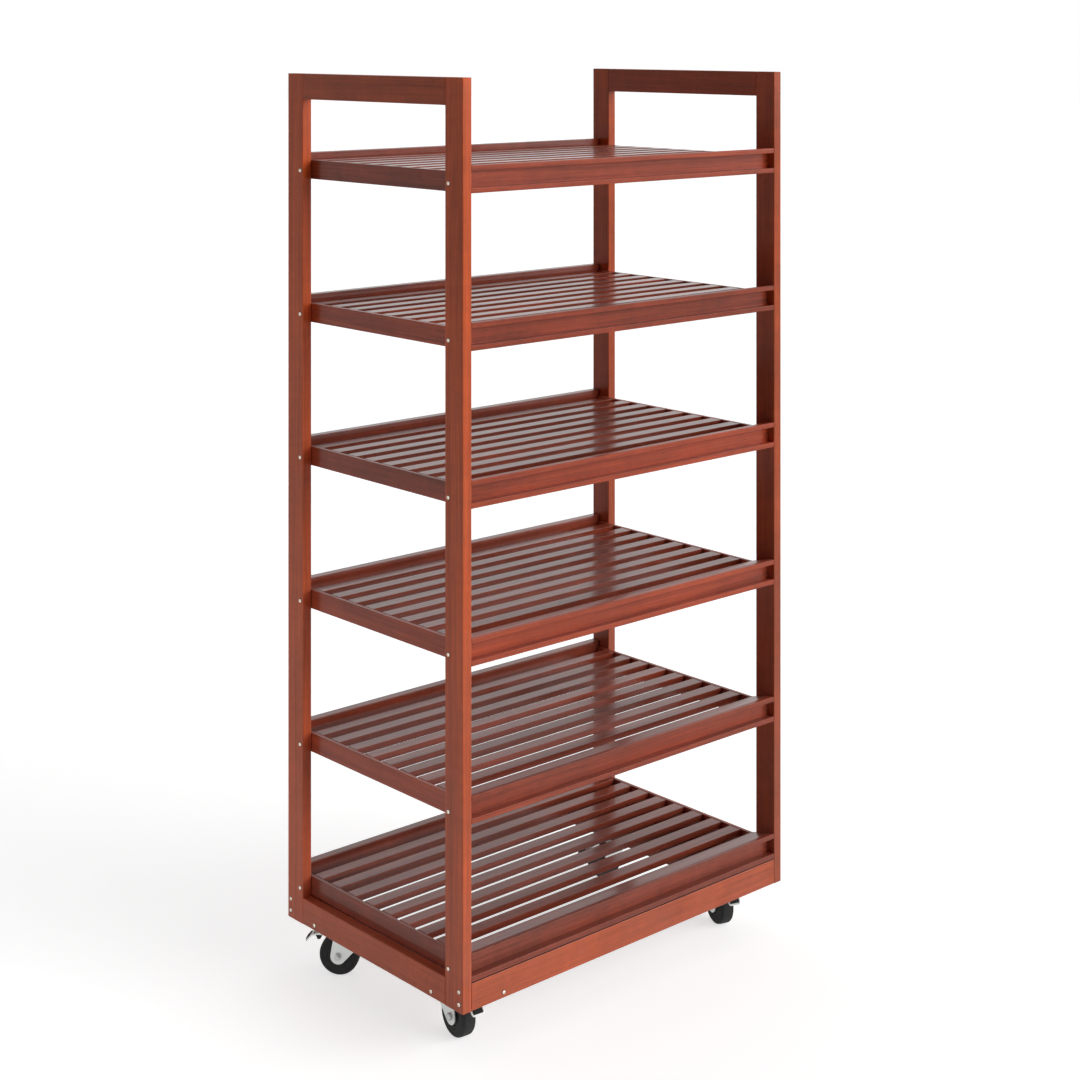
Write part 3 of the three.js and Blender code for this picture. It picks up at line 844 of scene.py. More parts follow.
def new_group(name, inputs, outputs):
    """A shader node group with named sockets, and the nodes at its two ends."""
    tree = bpy.data.node_groups.new(name, "ShaderNodeTree")
    for direction, sockets in (("INPUT", inputs), ("OUTPUT", outputs)):
        for label, kind in sockets.items():
            tree.interface.new_socket(label, in_out=direction, socket_type="NodeSocket" + kind)
    return tree, tree.nodes.new("NodeGroupInput"), tree.nodes.new("NodeGroupOutput")


def use_group(tree, name, inputs):
    """The outputs of a shader node group that is placed in a material."""
    node = tree.nodes.new("ShaderNodeGroup")
    node.node_tree = bpy.data.node_groups[name]
    feed(tree, node, inputs)
    return node.outputs


def new_material(name):
    """A new material's node tree, its shader, joined to the output, and its coordinates."""
    material = bpy.data.materials.new(name)
    material.use_nodes = True
    tree = material.node_tree
    tree.nodes.clear()
    output = tree.nodes.new("ShaderNodeOutputMaterial")
    shader = tree.nodes.new("ShaderNodeBsdfPrincipled")
    tree.links.new(shader.outputs[0], output.inputs["Surface"])
    return tree, shader, tree.nodes.new("ShaderNodeTexCoord")


def attribute(tree, name):
    """A number stored on the piece's mesh."""
    return place(tree, "ShaderNodeAttribute", {}, attribute_name=name).outputs["Fac"]


def bump(tree, height, strength, distance):
    """The normal of a surface that a height roughens."""
    inputs = {"Height": height, "Strength": strength, "Distance": distance}
    return place(tree, "ShaderNodeBump", inputs).outputs[0]


def turn_vector(tree, vector, turn, kind):
    """A point or a direction that is turned."""
    inputs = {"Vector": vector, "Rotation": turn}
    return place(tree, "ShaderNodeMapping", inputs, vector_type=kind).outputs[0]


def opaque(colour):
    """A setting's colour with full alpha."""
    return (*colour, 1.0)


# Finishes


def make_stained_grain():
    """Group: stain that soaked unevenly into grain running along X of the vector."""
    inputs = {
        "Vector": "Vector",
        "Facing": "Vector",
        "Tone": "Float",
        "Edge": "Float",
        "Stain": "Color",
        "Dark Stain": "Color",
    }
    outputs = {"Color": "Color", "Roughness": "Float", "Height": "Float"}
    tree, given, result = new_group("stained_grain", inputs, outputs)
    tone, edge = given.outputs["Tone"], given.outputs["Edge"]

    offset = scale_vector(tree, tone, (7.3, 3.1, 5.7))
    board = place(
        tree, "ShaderNodeVectorMath", {0: given.outputs["Vector"], 1: offset}, operation="ADD"
    ).outputs[0]
    streaks = noise(tree, board, (1.3, 48.0, 48.0), detail=4.0, roughness=0.6, distortion=0.5)
    fibres = noise(tree, board, (6.0, 330.0, 330.0), detail=3.0, roughness=0.6)
    pores = remap(tree, noise(tree, board, (32.0, 900.0, 900.0), detail=1.0), 0.6, 0.72)
    blotches = noise(tree, board, (7.0, 11.0, 11.0), detail=3.0, roughness=0.55)
    figure = noise(tree, board, (42.0, 20.0, 20.0), detail=3.0, roughness=0.6, distortion=0.4)

    light = remap(tree, add_up(tree, 0.0, (fibres, 0.45), (streaks, 0.55)), 0.3, 0.62)
    colour = mix_colour(tree, light, given.outputs["Dark Stain"], given.outputs["Stain"])

    along = place(tree, "ShaderNodeSeparateXYZ", {0: given.outputs["Facing"]}).outputs[0]
    end_grain = remap(tree, calculate(tree, "ABSOLUTE", along), 0.75, 0.95)
    soaked = add_up(tree, 0.3, (blotches, 0.7), (figure, 0.4), (tone, 0.45))
    # Rounded edges come out lighter: partly stain worn thin there, partly a painted highlight
    depth = add_up(tree, soaked, (pores, -0.25), (edge, 0.3), (end_grain, -0.4))
    surface = {
        "Color": scale_vector(tree, colour, depth),
        "Roughness": add_up(tree, 0.46, (light, -0.12), (end_grain, 0.15)),
        "Height": add_up(tree, 0.0, (fibres, 0.5), (pores, -1.0)),
    }
    feed(tree, result, surface)


def make_painted_floor_light():
    """Group: painted light from the white floor, a pale patchy wash on the wood that grows
    towards the floor, from 0 to 1.
    """
    inputs = {"Vector": "Vector", "Amount": "Float"}
    tree, given, result = new_group("painted_floor_light", inputs, {"Mask": "Float"})
    vector = given.outputs["Vector"]
    height = place(tree, "ShaderNodeSeparateXYZ", {0: vector}).outputs[2]
    overlay = remap(tree, height, FLOOR_LIGHT_FULL, FLOOR_LIGHT_NONE, given.outputs["Amount"], 0.0)
    patches = remap(tree, noise(tree, vector, 9.0, detail=3.0), 0.3, 0.7, 0.6, 1.0)
    feed(tree, result, {"Mask": calculate(tree, "MULTIPLY", overlay, patches)})


def make_wood(name, grain, stain, shade, lacquer, floor_light):
    """Stained wood with shaded grain along one axis, under lacquer, with painted light from the
    floor as a pale wash low down.
    """
    tree, shader, coordinates = new_material(name)
    place_on_piece, turn = coordinates.outputs["Object"], GRAIN_TURNS[grain]
    board = {
        "Vector": turn_vector(tree, place_on_piece, turn, "POINT"),
        "Facing": turn_vector(tree, coordinates.outputs["Normal"], turn, "VECTOR"),
        "Tone": attribute(tree, "tone"),
        "Edge": attribute(tree, "edge"),
        "Stain": opaque(stain),
        "Dark Stain": opaque(Vector(stain) * shade),
    }
    grained = use_group(tree, "stained_grain", board)
    # Painted light from the white floor: a pale wash on the wood that grows towards the floor
    overlay = {"Vector": place_on_piece, "Amount": floor_light}
    dust_and_floor_light = use_group(tree, "painted_floor_light", overlay)["Mask"]
    surface = {
        "Base Color": mix_colour(tree, dust_and_floor_light, grained["Color"], FLOOR_LIGHT_COLOUR),
        "Roughness": grained["Roughness"],
        "Normal": bump(tree, grained["Height"], strength=0.2, distance=0.2 * MM),
        "Specular IOR Level": 0.12,
        "Coat Weight": lacquer,
        "Coat Roughness": 0.16,
        "Coat IOR": 1.4,
    }
    feed(tree, shader, surface)


def make_shop_dust():
    """Group: a patchy film of dust, from 0 to 1."""
    tree, given, result = new_group("shop_dust", {"Vector": "Vector"}, {"Mask": "Float"})
    vector = given.outputs["Vector"]
    patches = remap(tree, noise(tree, vector, 55.0, detail=3.0), 0.42, 0.7)
    specks = remap(tree, noise(tree, vector, 620.0), 0.35, 0.75)
    feed(tree, result, {"Mask": calculate(tree, "MULTIPLY", patches, specks)})


def make_plated_steel():
    """Group: zinc plate with a faint spangle and fine scratches."""
    inputs = {"Vector": "Vector", "Plate": "Color"}
    outputs = {"Color": "Color", "Roughness": "Float", "Height": "Float"}
    tree, given, result = new_group("plated_steel", inputs, outputs)
    vector = given.outputs["Vector"]
    cells = place(tree, "ShaderNodeTexVoronoi", {"Vector": vector, "Scale": 230.0})
    spangle = place(tree, "ShaderNodeSeparateColor", {0: cells.outputs["Color"]}).outputs[0]
    cloud = noise(tree, vector, 38.0, detail=3.0)
    scratches = remap(tree, noise(tree, vector, (260.0, 2600.0, 900.0)), 0.58, 0.75)
    shade = add_up(tree, 0.82, (spangle, 0.12), (cloud, 0.2), (scratches, -0.12))
    surface = {
        "Color": scale_vector(tree, given.outputs["Plate"], shade),
        "Roughness": add_up(tree, 0.2, (cloud, 0.25), (scratches, 0.15)),
        "Height": scratches,
    }
    feed(tree, result, surface)


def make_steel(name, plate):
    """Zinc plated steel."""
    tree, shader, coordinates = new_material(name)
    vector = coordinates.outputs["Object"]
    steel = use_group(tree, "plated_steel", {"Vector": vector, "Plate": opaque(plate)})
    dust_and_floor_light = use_group(tree, "shop_dust", {"Vector": vector})["Mask"]
    overlay = calculate(tree, "MULTIPLY", dust_and_floor_light, 0.25)
    surface = {
        "Base Color": mix_colour(tree, overlay, steel["Color"], STEEL_DUST),
        "Roughness": add_up(tree, steel["Roughness"], (dust_and_floor_light, 0.2)),
        "Normal": bump(tree, steel["Height"], strength=0.1, distance=0.05 * MM),
        "Metallic": 0.95,
    }
    feed(tree, shader, surface)


def make_dark_mould(name, colour, roughness, grain):
    """Black rubber or plastic with a moulded grain, scuffed grey where it meets the floor."""
    tree, shader, coordinates = new_material(name)
    vector = coordinates.outputs["Object"]
    dust_and_floor_light = use_group(tree, "shop_dust", {"Vector": vector})["Mask"]
    scuff = add_up(tree, 0.1, (attribute(tree, "tread"), 0.35))
    overlay = calculate(tree, "MULTIPLY", dust_and_floor_light, scuff)
    mottle = add_up(tree, 0.7, (noise(tree, vector, 90.0, detail=3.0), 0.6))
    mould = scale_vector(tree, colour, mottle)
    pits = noise(tree, vector, grain)
    surface = {
        "Base Color": mix_colour(tree, overlay, mould, RUBBER_DUST),
        "Roughness": add_up(tree, roughness, (dust_and_floor_light, 0.25)),
        "Normal": bump(tree, pits, strength=0.25, distance=0.15 * MM),
        "Specular IOR Level": 0.4,
    }
    feed(tree, shader, surface)


def make_finishes(scene):
    """Builds every finish of the rack once."""
    if "stained_grain" in bpy.data.node_groups:
        return
    wood, screws = scene.bread_rack_wood, scene.bread_rack_screws
    casters = scene.bread_rack_casters
    make_stained_grain()
    make_painted_floor_light()
    make_shop_dust()
    make_plated_steel()
    # The deck's colour is its stain darkened with painted shade
    stains = {"frame": wood.frame_stain, "front": wood.front_stain, "deck": wood.shaded_deck_stain}
    for family, stain in stains.items():
        for grain in WOOD_GRAINS[family]:
            name = f"{family}_wood_{GRAIN_LETTERS[grain]}"
            make_wood(name, grain, stain, **WOOD_FINISHES[family])
    make_wood("base_board_wood", Y, wood.board_stain, **WOOD_FINISHES["board"])
    # Dark finish of painted shade, for the rings round the screws and the strips over the base
    # rails
    make_wood("bored_wood", Z, wood.bore_stain, **WOOD_FINISHES["bore"])
    make_steel("zinc_steel", casters.zinc)
    make_steel("bolt_steel", casters.bolt)
    make_steel("screw_steel", screws.screw)
    make_steel("dark_nail", screws.nail)
    make_dark_mould("black_rubber", casters.rubber, roughness=0.5, grain=700.0)
    make_dark_mould("black_plastic", casters.plastic, roughness=0.38, grain=1400.0)


def dress_wood(piece, family, grain, nodes):
    """Gives a board of the frame, the shelf fronts or the decks its finish, by its grain."""
    material = bpy.data.materials[f"{family}_wood_{GRAIN_LETTERS[grain]}"]
    dress(piece, material, "rack", nodes)


# Boards


def add_board(name, low, high, grain, wood):
    """A planed board with its long edges rounded over and its sawn ends eased."""
    board = add_block(name, low, high)
    round_edges(board, wood.edge_rounding, lambda edge: runs_along(edge, grain))
    round_edges(board, wood.end_rounding, lambda edge: not runs_along(edge, grain), segments=2)
    smooth_faces(board)
    set_tone(board, name)
    return board


def build_board(node, low, high, family, grain, wood):
    """Builds the board that stands for a CAD node and gives it its finish."""
    board = add_board(f"{node}_board", low, high, grain, wood)
    dress_wood(board, family, grain, [node])


class BuildEndFrames(bpy.types.Operator):
    """Build the posts and rails of the two end frames"""

    bl_idname = "bread_rack.end_frames"
    bl_label = "End Frames"

    def execute(self, context):
        wood = context.scene.bread_rack_wood
        make_finishes(context.scene)
        for side in SIDES:
            for end in ENDS:
                node = f"{side}_{end}_post"
                build_board(node, *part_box(node), "frame", Z, wood)
            for level in ("top", "bottom"):
                node = f"{side}_{level}_rail"
                low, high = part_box(node)
                low.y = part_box(f"{side}_front_post")[1].y + JOINT_GAP
                high.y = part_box(f"{side}_back_post")[0].y - JOINT_GAP
                build_board(node, low, high, "frame", Y, wood)
        return {"FINISHED"}


def add_shadow_strip(end, low, high):
    """A dark strip of painted shadow that fills the empty gap between a base rail and the bottom
    shelf.
    """
    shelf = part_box(f"shelf_1_{end}_rail")[0].z
    strip_low = Vector((low.x, low.y + SHADOW_STRIP_INSET, high.z - SHADOW_STRIP_BITE))
    strip_high = Vector((high.x, high.y - SHADOW_STRIP_INSET, shelf + SHADOW_STRIP_BITE))
    return ease_edges(add_block(f"{end}_seam", strip_low, strip_high), SHADOW_STRIP_BITE)


class BuildBase(bpy.types.Operator):
    """Build the rails round the base, the dark strips of painted shadow over them and the boards
    for the casters
    """

    bl_idname = "bread_rack.base"
    bl_label = "Base"

    def execute(self, context):
        wood = context.scene.bread_rack_wood
        make_finishes(context.scene)
        shadow_finish = bpy.data.materials["bored_wood"]
        board_finish = bpy.data.materials["base_board_wood"]
        for end in ENDS:
            node = f"{end}_base_rail"
            low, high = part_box(node)
            # The rail's top is dropped to open a gap, filled by a dark strip of painted shadow
            high.z -= SHADOW_STRIP_DROP
            build_board(node, low, high, "frame", X, wood)
            dress(add_shadow_strip(end, low, high), shadow_finish, "rack")
        for side in SIDES:
            node = f"{side}_caster_board"
            board = add_board(f"{node}_wood", *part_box(node), Y, wood)
            dress(board, board_finish, "rack", [node])
        return {"FINISHED"}


def front_rail_section(low, high):
    """Outline of a shelf's front rail: a label channel, and a top that slopes to the slats."""
    face, bottom, top = low.y, low.z, high.z
    return [
        (face, bottom),
        (face + WEB_BACK, bottom),
        (face + WEB_BACK, bottom + SLAT_LEVEL - FIN_THICKNESS),
        (high.y, bottom + SLAT_LEVEL - FIN_THICKNESS),
        (high.y, bottom + SLAT_LEVEL),
        (face + TOP_LAND, top),
        (face, top),
        (face, top - CHANNEL_LIP),
        (face + CHANNEL_DEPTH, top - CHANNEL_LIP),
        (face + CHANNEL_DEPTH, bottom + CHANNEL_LIP),
        (face, bottom + CHANNEL_LIP),
    ]


def add_front_rail(node, wood):
    """A shelf's front rail, moulded along its whole length."""
    low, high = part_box(node)
    rail = add_prism(f"{node}_moulding", front_rail_section(low, high), X, low.x, high.x)
    rounding = MOULDING_ROUNDING_SHARE * wood.edge_rounding
    round_edges(rail, rounding, lambda edge: runs_along(edge, X) and edge.is_convex)
    smooth_faces(rail)
    set_tone(rail, node)
    return rail


class BuildShelfRails(bpy.types.Operator):
    """Build the moulded front rail and the plain back rail of each shelf"""

    bl_idname = "bread_rack.shelf_rails"
    bl_label = "Shelf Rails"

    def execute(self, context):
        wood = context.scene.bread_rack_wood
        make_finishes(context.scene)
        for shelf in SHELVES:
            node = f"shelf_{shelf}_front_rail"
            dress_wood(add_front_rail(node, wood), "front", X, [node])
            node = f"shelf_{shelf}_back_rail"
            build_board(node, *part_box(node), "deck", X, wood)
        return {"FINISHED"}


# Slat decks


def add_slat(low, high, wood):
    """A slat with its long edges rounded over and its ends rounder still."""
    slat = add_block("slat", low, high)
    round_edges(slat, wood.slat_rounding, lambda edge: runs_along(edge, X), segments=4)
    end_rounding = SLAT_END_ROUNDING_SHARE * wood.slat_rounding
    round_edges(slat, end_rounding, lambda edge: not runs_along(edge, X))
    smooth_faces(slat)
    return slat


def add_side_rail(side, deck_low, deck_high, slats_front, wood):
    """A board with a ledge for the slat ends, notched at its front to pass under the fin."""
    low, high = deck_low.copy(), deck_high.copy()
    ledge_start, ledge_end = low.x - RUN_PAST, high.x + RUN_PAST
    if side == "left":
        high.x = low.x + SIDE_RAIL_WIDTH
        ledge_start = low.x + SIDE_RAIL_RIM
    else:
        low.x = high.x - SIDE_RAIL_WIDTH
        ledge_end = high.x - SIDE_RAIL_RIM
    rail = add_block(f"{side}_side_rail", low, high)
    ledge_low = Vector((ledge_start, low.y - RUN_PAST, high.z - wood.slat_thickness))
    ledge_high = Vector((ledge_end, high.y + RUN_PAST, high.z + RUN_PAST))
    combine(rail, add_block("ledge", ledge_low, ledge_high), "DIFFERENCE")
    under_fin = low.z + SLAT_LEVEL - FIN_THICKNESS - JOINT_GAP
    notch_low = Vector((low.x - RUN_PAST, low.y - RUN_PAST, under_fin))
    notch_high = Vector((high.x + RUN_PAST, slats_front + JOINT_GAP, high.z + RUN_PAST))
    combine(rail, add_block("notch", notch_low, notch_high), "DIFFERENCE")
    merge_close(rail)
    rounding = SIDE_RAIL_ROUNDING_SHARE * wood.edge_rounding
    round_edges(rail, rounding, lambda edge: runs_along(edge, Y) and edge.is_convex)
    smooth_faces(rail)
    return rail


class BuildSlatDecks(bpy.types.Operator):
    """Build the slats and the side rails of each shelf"""

    bl_idname = "bread_rack.slat_decks"
    bl_label = "Slat Decks"

    def execute(self, context):
        wood = context.scene.bread_rack_wood
        make_finishes(context.scene)
        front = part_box("shelf_1_front_rail")[1].y
        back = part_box("shelf_1_back_rail")[0].y
        gap = (back - front - wood.slat_count * wood.slat_width) / (wood.slat_count + 1)
        low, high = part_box("shelf_1_slat_deck")
        inset = SIDE_RAIL_RIM + SLAT_END_GAP
        slat_low = Vector((low.x + inset, front + gap, high.z - wood.slat_thickness))
        slat_high = Vector((high.x - inset, front + gap + wood.slat_width, high.z))
        slat = add_slat(slat_low, slat_high, wood)
        rails = [add_side_rail(side, low, high, front, wood) for side in SIDES]
        for shelf in SHELVES:
            node = f"shelf_{shelf}_slat_deck"
            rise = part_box(node)[0].z - low.z
            slats = []
            for number in range(wood.slat_count):
                name = f"shelf_{shelf}_slat_{number + 1}"
                step = Vector((0, number * (wood.slat_width + gap), rise))
                slats.append(copy_piece(slat, name, Matrix.Translation(step)))
                set_tone(slats[-1], name)
            dress_wood(join_pieces(f"shelf_{shelf}_slats", slats), "deck", X, [node])
            for side, rail in zip(SIDES, rails):
                name = f"shelf_{shelf}_{side}_side_rail"
                copy = copy_piece(rail, name, Matrix.Translation((0, 0, rise)))
                set_tone(copy, name)
                dress_wood(copy, "front", Y, [node])
        discard(slat, *rails)
        return {"FINISHED"}


# Screws and nails


def add_screw(screws):
    """A domed screw head with a cross recess, standing on the origin and facing up."""
    height = screws.head_height
    head = add_prism("screw", circle((0, 0), screws.head_radius), Z, 0, height)
    round_edges(
        head,
        SCREW_DOME * height,
        lambda edge: min(v.co.z for v in edge.verts) > height / 2,
        segments=5,
    )
    half = Vector((screws.recess_length / 2, screws.recess_width / 2, 0))
    floor, top = RECESS_FLOOR * height, height + RUN_PAST
    for reach in (half, half.yxz):
        bar = add_block("recess", -reach + Vector((0, 0, floor)), reach + Vector((0, 0, top)))
        combine(head, bar, "DIFFERENCE")
    smooth_faces(head)
    return head


def add_stud(name, radius, height, corners):
    """A low round stud with an eased edge, standing on the origin and facing up."""
    stud = add_prism(name, circle((0, 0), radius, corners), Z, 0, height)
    return ease_edges(stud, height / 2)


def end_screw_places(side):
    """Where the screws through one end frame sit: in the shelves, the base and its board."""
    places = []
    for end in ENDS:
        low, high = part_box(f"{side}_{end}_post")
        face = low.x if side == "left" else high.x
        edge, inward = (low.y, 1) if end == "front" else (high.y, -1)
        for shelf in SHELVES:
            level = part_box(f"shelf_{shelf}_front_rail")[0].z
            across = edge + inward * POST_SCREW_INSET[end]
            places.append(Vector((face, across, level + POST_SCREW_RISE)))
        across = edge + inward * BASE_SCREW_INSET
        places += [Vector((face, across, low.z + rise)) for rise in BASE_SCREW_RISES]
        across = edge + inward * BOARD_SCREW_INSET["side"]
        places.append(Vector((face, across, low.z + BOARD_SCREW_RISE)))
    return places


def base_screw_places(end):
    """Where the screws through one base rail sit, in the boards for the casters."""
    low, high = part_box(f"{end}_base_rail")
    face = low.y if end == "front" else high.y
    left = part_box("left_front_post")[0].x + BOARD_SCREW_INSET["front"]
    rise = low.z + BOARD_SCREW_RISE
    return [Vector((side * left, face, rise)) for side in BASE_SCREW_SIDES[end]]


def put_screws(name, screw, places, outward):
    """Copies a screw to each place, each turned by its own amount, as one piece."""
    turns = random.Random(name)
    aim = Vector((0, 0, 1)).rotation_difference(outward).to_matrix().to_4x4()
    copies = []
    for number, where in enumerate(places):
        spin = Matrix.Rotation(turns.uniform(0, math.pi), 4, "Z")
        matrix = Matrix.Translation(where) @ aim @ spin
        copies.append(copy_piece(screw, f"{name}_{number}", matrix))
    return join_pieces(name, copies)


class BuildScrews(bpy.types.Operator):
    """Build the screws through the frame and casters, and the nails in the label channels"""

    bl_idname = "bread_rack.screws"
    bl_label = "Screws and Nails"

    def execute(self, context):
        screws = context.scene.bread_rack_screws
        make_finishes(context.scene)
        steel, dark = bpy.data.materials["screw_steel"], bpy.data.materials["bored_wood"]
        screw = add_screw(screws)
        # A thin dark disc of painted shade, to sit round each screw head
        bore = add_stud("bore", screws.shade_ring_radius, SHADE_RING_HEIGHT, corners=32)
        groups = [(f"{side}_end", side, end_screw_places(side)) for side in SIDES]
        groups += [(f"{end}_base", end, base_screw_places(end)) for end in ENDS]
        for name, facing, places in groups:
            outward = OUTWARD[facing]
            heads = put_screws(f"{name}_screws", screw, places, outward)
            dress(heads, steel, "rack")
            # Dark rings of painted shade round the screw heads
            painted_shade_rings = put_screws(f"{name}_bores", bore, places, outward)
            dress(painted_shade_rings, dark, "rack")

        for corner in CORNERS:
            middle = JOINT_PLACES[f"{corner}_swivel"].xy
            places = [Vector((*(middle + hole), PLATE_UNDERSIDE)) for hole in PLATE_HOLES]
            heads = put_screws(f"{corner}_plate_screws", screw, places, Vector((0, 0, -1)))
            dress(heads, steel, "rack")

        nail = add_stud("nail", screws.nail_radius, NAIL_HEIGHT, corners=16)
        for shelf in SHELVES:
            low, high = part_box(f"shelf_{shelf}_front_rail")
            back, rise = low.y + CHANNEL_DEPTH, low.z + NAIL_RISE
            ends = (low.x + NAIL_INSET, high.x - NAIL_INSET)
            places = [Vector((end, back, rise)) for end in ends]
            heads = put_screws(f"shelf_{shelf}_channel_nails", nail, places, OUTWARD["front"])
            dress(heads, bpy.data.materials["dark_nail"], "rack")
        discard(screw, bore, nail)
        return {"FINISHED"}


# Casters, modelled once about the swivel axis with the wheel trailing towards +X


def caster_place(corner):
    """The place of a corner's top plate, which stands square to the rack."""
    swivel = JOINT_PLACES[f"{corner}_swivel"]
    return Matrix.Translation((swivel.x, swivel.y, 0))


def caster_turn(corner):
    """The place and turn of a corner's fork at rest."""
    trail = JOINT_PLACES[f"{corner}_wheel_spin"] - JOINT_PLACES[f"{corner}_swivel"]
    return caster_place(corner) @ Matrix.Rotation(math.atan2(trail.y, trail.x), 4, "Z")


def add_top_plate(casters):
    """A square plate with four holes, a raceway and the king pin's head under the fork."""
    half = PLATE_SIZE / 2
    outline = rounded_rectangle((-half, -half), (half, half), PLATE_CORNER)
    plate = add_prism("plate", outline, Z, PLATE_UNDERSIDE, PLATE_TOP)
    below, above = PLATE_UNDERSIDE - RUN_PAST, PLATE_TOP + RUN_PAST
    for hole in PLATE_HOLES:
        round_hole = circle(hole, PLATE_HOLE_RADIUS, corners=24)
        combine(plate, add_prism("hole", round_hole, Z, below, above), "DIFFERENCE")
    pin_top = CROWN_UNDERSIDE - JOINT_GAP
    race_bottom = PLATE_UNDERSIDE - RACE_DEPTH
    rounds = (
        (RACE_RADIUS, race_bottom, PLATE_UNDERSIDE + RUN_PAST, RACE_ROUNDING),
        (KING_PIN_RADIUS, pin_top - RUN_PAST, race_bottom + RUN_PAST, 0),
        (KING_PIN_HEAD_RADIUS, pin_top - KING_PIN_HEAD_HEIGHT, pin_top, KING_PIN_HEAD_ROUNDING),
    )
    for radius, bottom, top, rounding in rounds:
        disc = add_prism("disc", circle((0, 0), radius, corners=56), Z, bottom, top)
        if rounding:
            middle = (bottom + top) / 2
            round_edges(
                disc, rounding, lambda edge: max(v.co.z for v in edge.verts) < middle, segments=4
            )
        combine(plate, disc, "UNION")
    merge_close(plate)
    return ease_edges(plate, casters.edge_rounding)


def fork_section():
    """The fork across the wheel: an upturned channel with rounded bends."""
    inner, outer = FORK_INSIDE / 2, FORK_OUTSIDE / 2
    inner_bend, outer_bend = FORK_BEND, FORK_BEND + FORK_STEEL
    low, high = CROWN_UNDERSIDE - inner_bend, CROWN_TOP - outer_bend
    quarter = math.pi / 2
    return [
        (-outer, 0),
        (-inner, 0),
        *arc((-inner + inner_bend, low), inner_bend, 2 * quarter, quarter),
        *arc((inner - inner_bend, low), inner_bend, quarter, 0),
        (inner, 0),
        (outer, 0),
        *arc((outer - outer_bend, high), outer_bend, 0, quarter, steps=10),
        *arc((-outer + outer_bend, high), outer_bend, quarter, 2 * quarter, steps=10),
    ]


def fork_side_view():
    """The fork from the side: a wide crown that tapers to a round foot at the axle."""
    axle = Vector((TRAIL, AXLE_HEIGHT))
    front_low = Vector((FORK_FRONT, CROWN_TOP - FORK_FRONT_DROP))
    back_top = Vector((FORK_BACK_TOP, CROWN_TOP + RUN_PAST))

    def tangent(corner, side):
        """Angle round the axle at which a line from a corner meets the foot."""
        away = corner - axle
        return math.atan2(away.y, away.x) + side * math.acos(FORK_FOOT_RADIUS / away.length)

    foot_start = tangent(front_low, 1)
    foot_end = tangent(back_top, -1) + 2 * math.pi
    return [
        (FORK_FRONT, CROWN_TOP + RUN_PAST),
        tuple(front_low),
        *arc(axle, FORK_FOOT_RADIUS, foot_start, foot_end, steps=28),
        tuple(back_top),
    ]


def add_fork(casters):
    """A pressed steel fork with a tongue and eye for the brake."""
    back = FORK_BACK_TOP + FORK_FOOT_RADIUS
    fork = add_prism("fork", fork_section(), X, FORK_FRONT - RUN_PAST, back)
    reach = FORK_OUTSIDE / 2 + RUN_PAST
    combine(fork, add_prism("side", fork_side_view(), Y, -reach, reach), "INTERSECT")
    corner_x, corner_y = FORK_FRONT + FORK_FRONT_CORNER, reach - FORK_FRONT_CORNER
    plan = [
        (back + RUN_PAST, -reach),
        (back + RUN_PAST, reach),
        *arc((corner_x, corner_y), FORK_FRONT_CORNER, math.pi / 2, math.pi, steps=10),
        *arc((corner_x, -corner_y), FORK_FRONT_CORNER, math.pi, 1.5 * math.pi, steps=10),
    ]
    combine(fork, add_prism("plan", plan, Z, 0, CROWN_TOP + RUN_PAST), "INTERSECT")
    half = TONGUE_WIDTH / 2
    tongue_low = Vector((FORK_BACK_TOP - TONGUE_ROOT, -half, CROWN_UNDERSIDE))
    tongue_high = Vector((BRAKE_REACH, half, CROWN_TOP))
    combine(fork, add_block("tongue", tongue_low, tongue_high), "UNION")
    pivot, axle = (BRAKE_REACH, BRAKE_HEIGHT), (TRAIL, AXLE_HEIGHT)
    eye = circle(pivot, BRAKE_EYE_RADIUS, corners=40)
    combine(fork, add_prism("eye", eye, Y, -half, half), "UNION")
    pin_hole = circle(pivot, BRAKE_PIN_RADIUS + JOINT_GAP, corners=24)
    axle_hole = circle(axle, AXLE_RADIUS + JOINT_GAP)
    king_pin_hole = circle((0, 0), KING_PIN_RADIUS + JOINT_GAP)
    below, above = CROWN_UNDERSIDE - RUN_PAST, CROWN_TOP + RUN_PAST
    for hole in (pin_hole, axle_hole):
        combine(fork, add_prism("hole", hole, Y, -reach, reach), "DIFFERENCE")
    combine(fork, add_prism("hole", king_pin_hole, Z, below, above), "DIFFERENCE")
    merge_close(fork)
    return ease_edges(fork, casters.edge_rounding)


def add_axle_bolt(casters):
    """A hexagon bolt and nut through the fork."""
    axle = (TRAIL, AXLE_HEIGHT)
    face = FORK_OUTSIDE / 2 + JOINT_GAP
    end = face + AXLE_HEAD_HEIGHT
    shank = circle(axle, AXLE_RADIUS)
    hexagon = circle(axle, AXLE_HEX_RADIUS, corners=6)
    trim = circle(axle, AXLE_HEAD_RADIUS, corners=48)
    bolt = add_prism("bolt", shank, Y, -face - AXLE_HEAD_HEIGHT / 2, end + AXLE_TAIL)
    for start, finish in ((-end, -face), (face, end)):
        head = add_prism("hex", hexagon, Y, start, finish)
        round_disc = add_prism("round", trim, Y, start, finish)
        outer = start if start < 0 else finish
        round_edges(
            round_disc,
            AXLE_HEAD_CHAMFER,
            lambda edge: all(abs(v.co.y - outer) < TOUCHING for v in edge.verts),
            segments=1,
        )
        combine(head, round_disc, "INTERSECT")
        combine(bolt, head, "UNION")
    merge_close(bolt)
    return ease_edges(bolt, AXLE_BOLT_ROUNDING_SHARE * casters.edge_rounding)


def add_ribs(piece, root, top, size, count, first, pitch):
    """Ribs across a piece, each from a root inside it to its own height over the top."""
    for number in range(count):
        x = first + number * pitch
        low = Vector((x - size.x / 2, -size.y / 2, root))
        high = Vector((x + size.x / 2, size.y / 2, top + size.z))
        combine(piece, add_block("rib", low, high), "UNION")


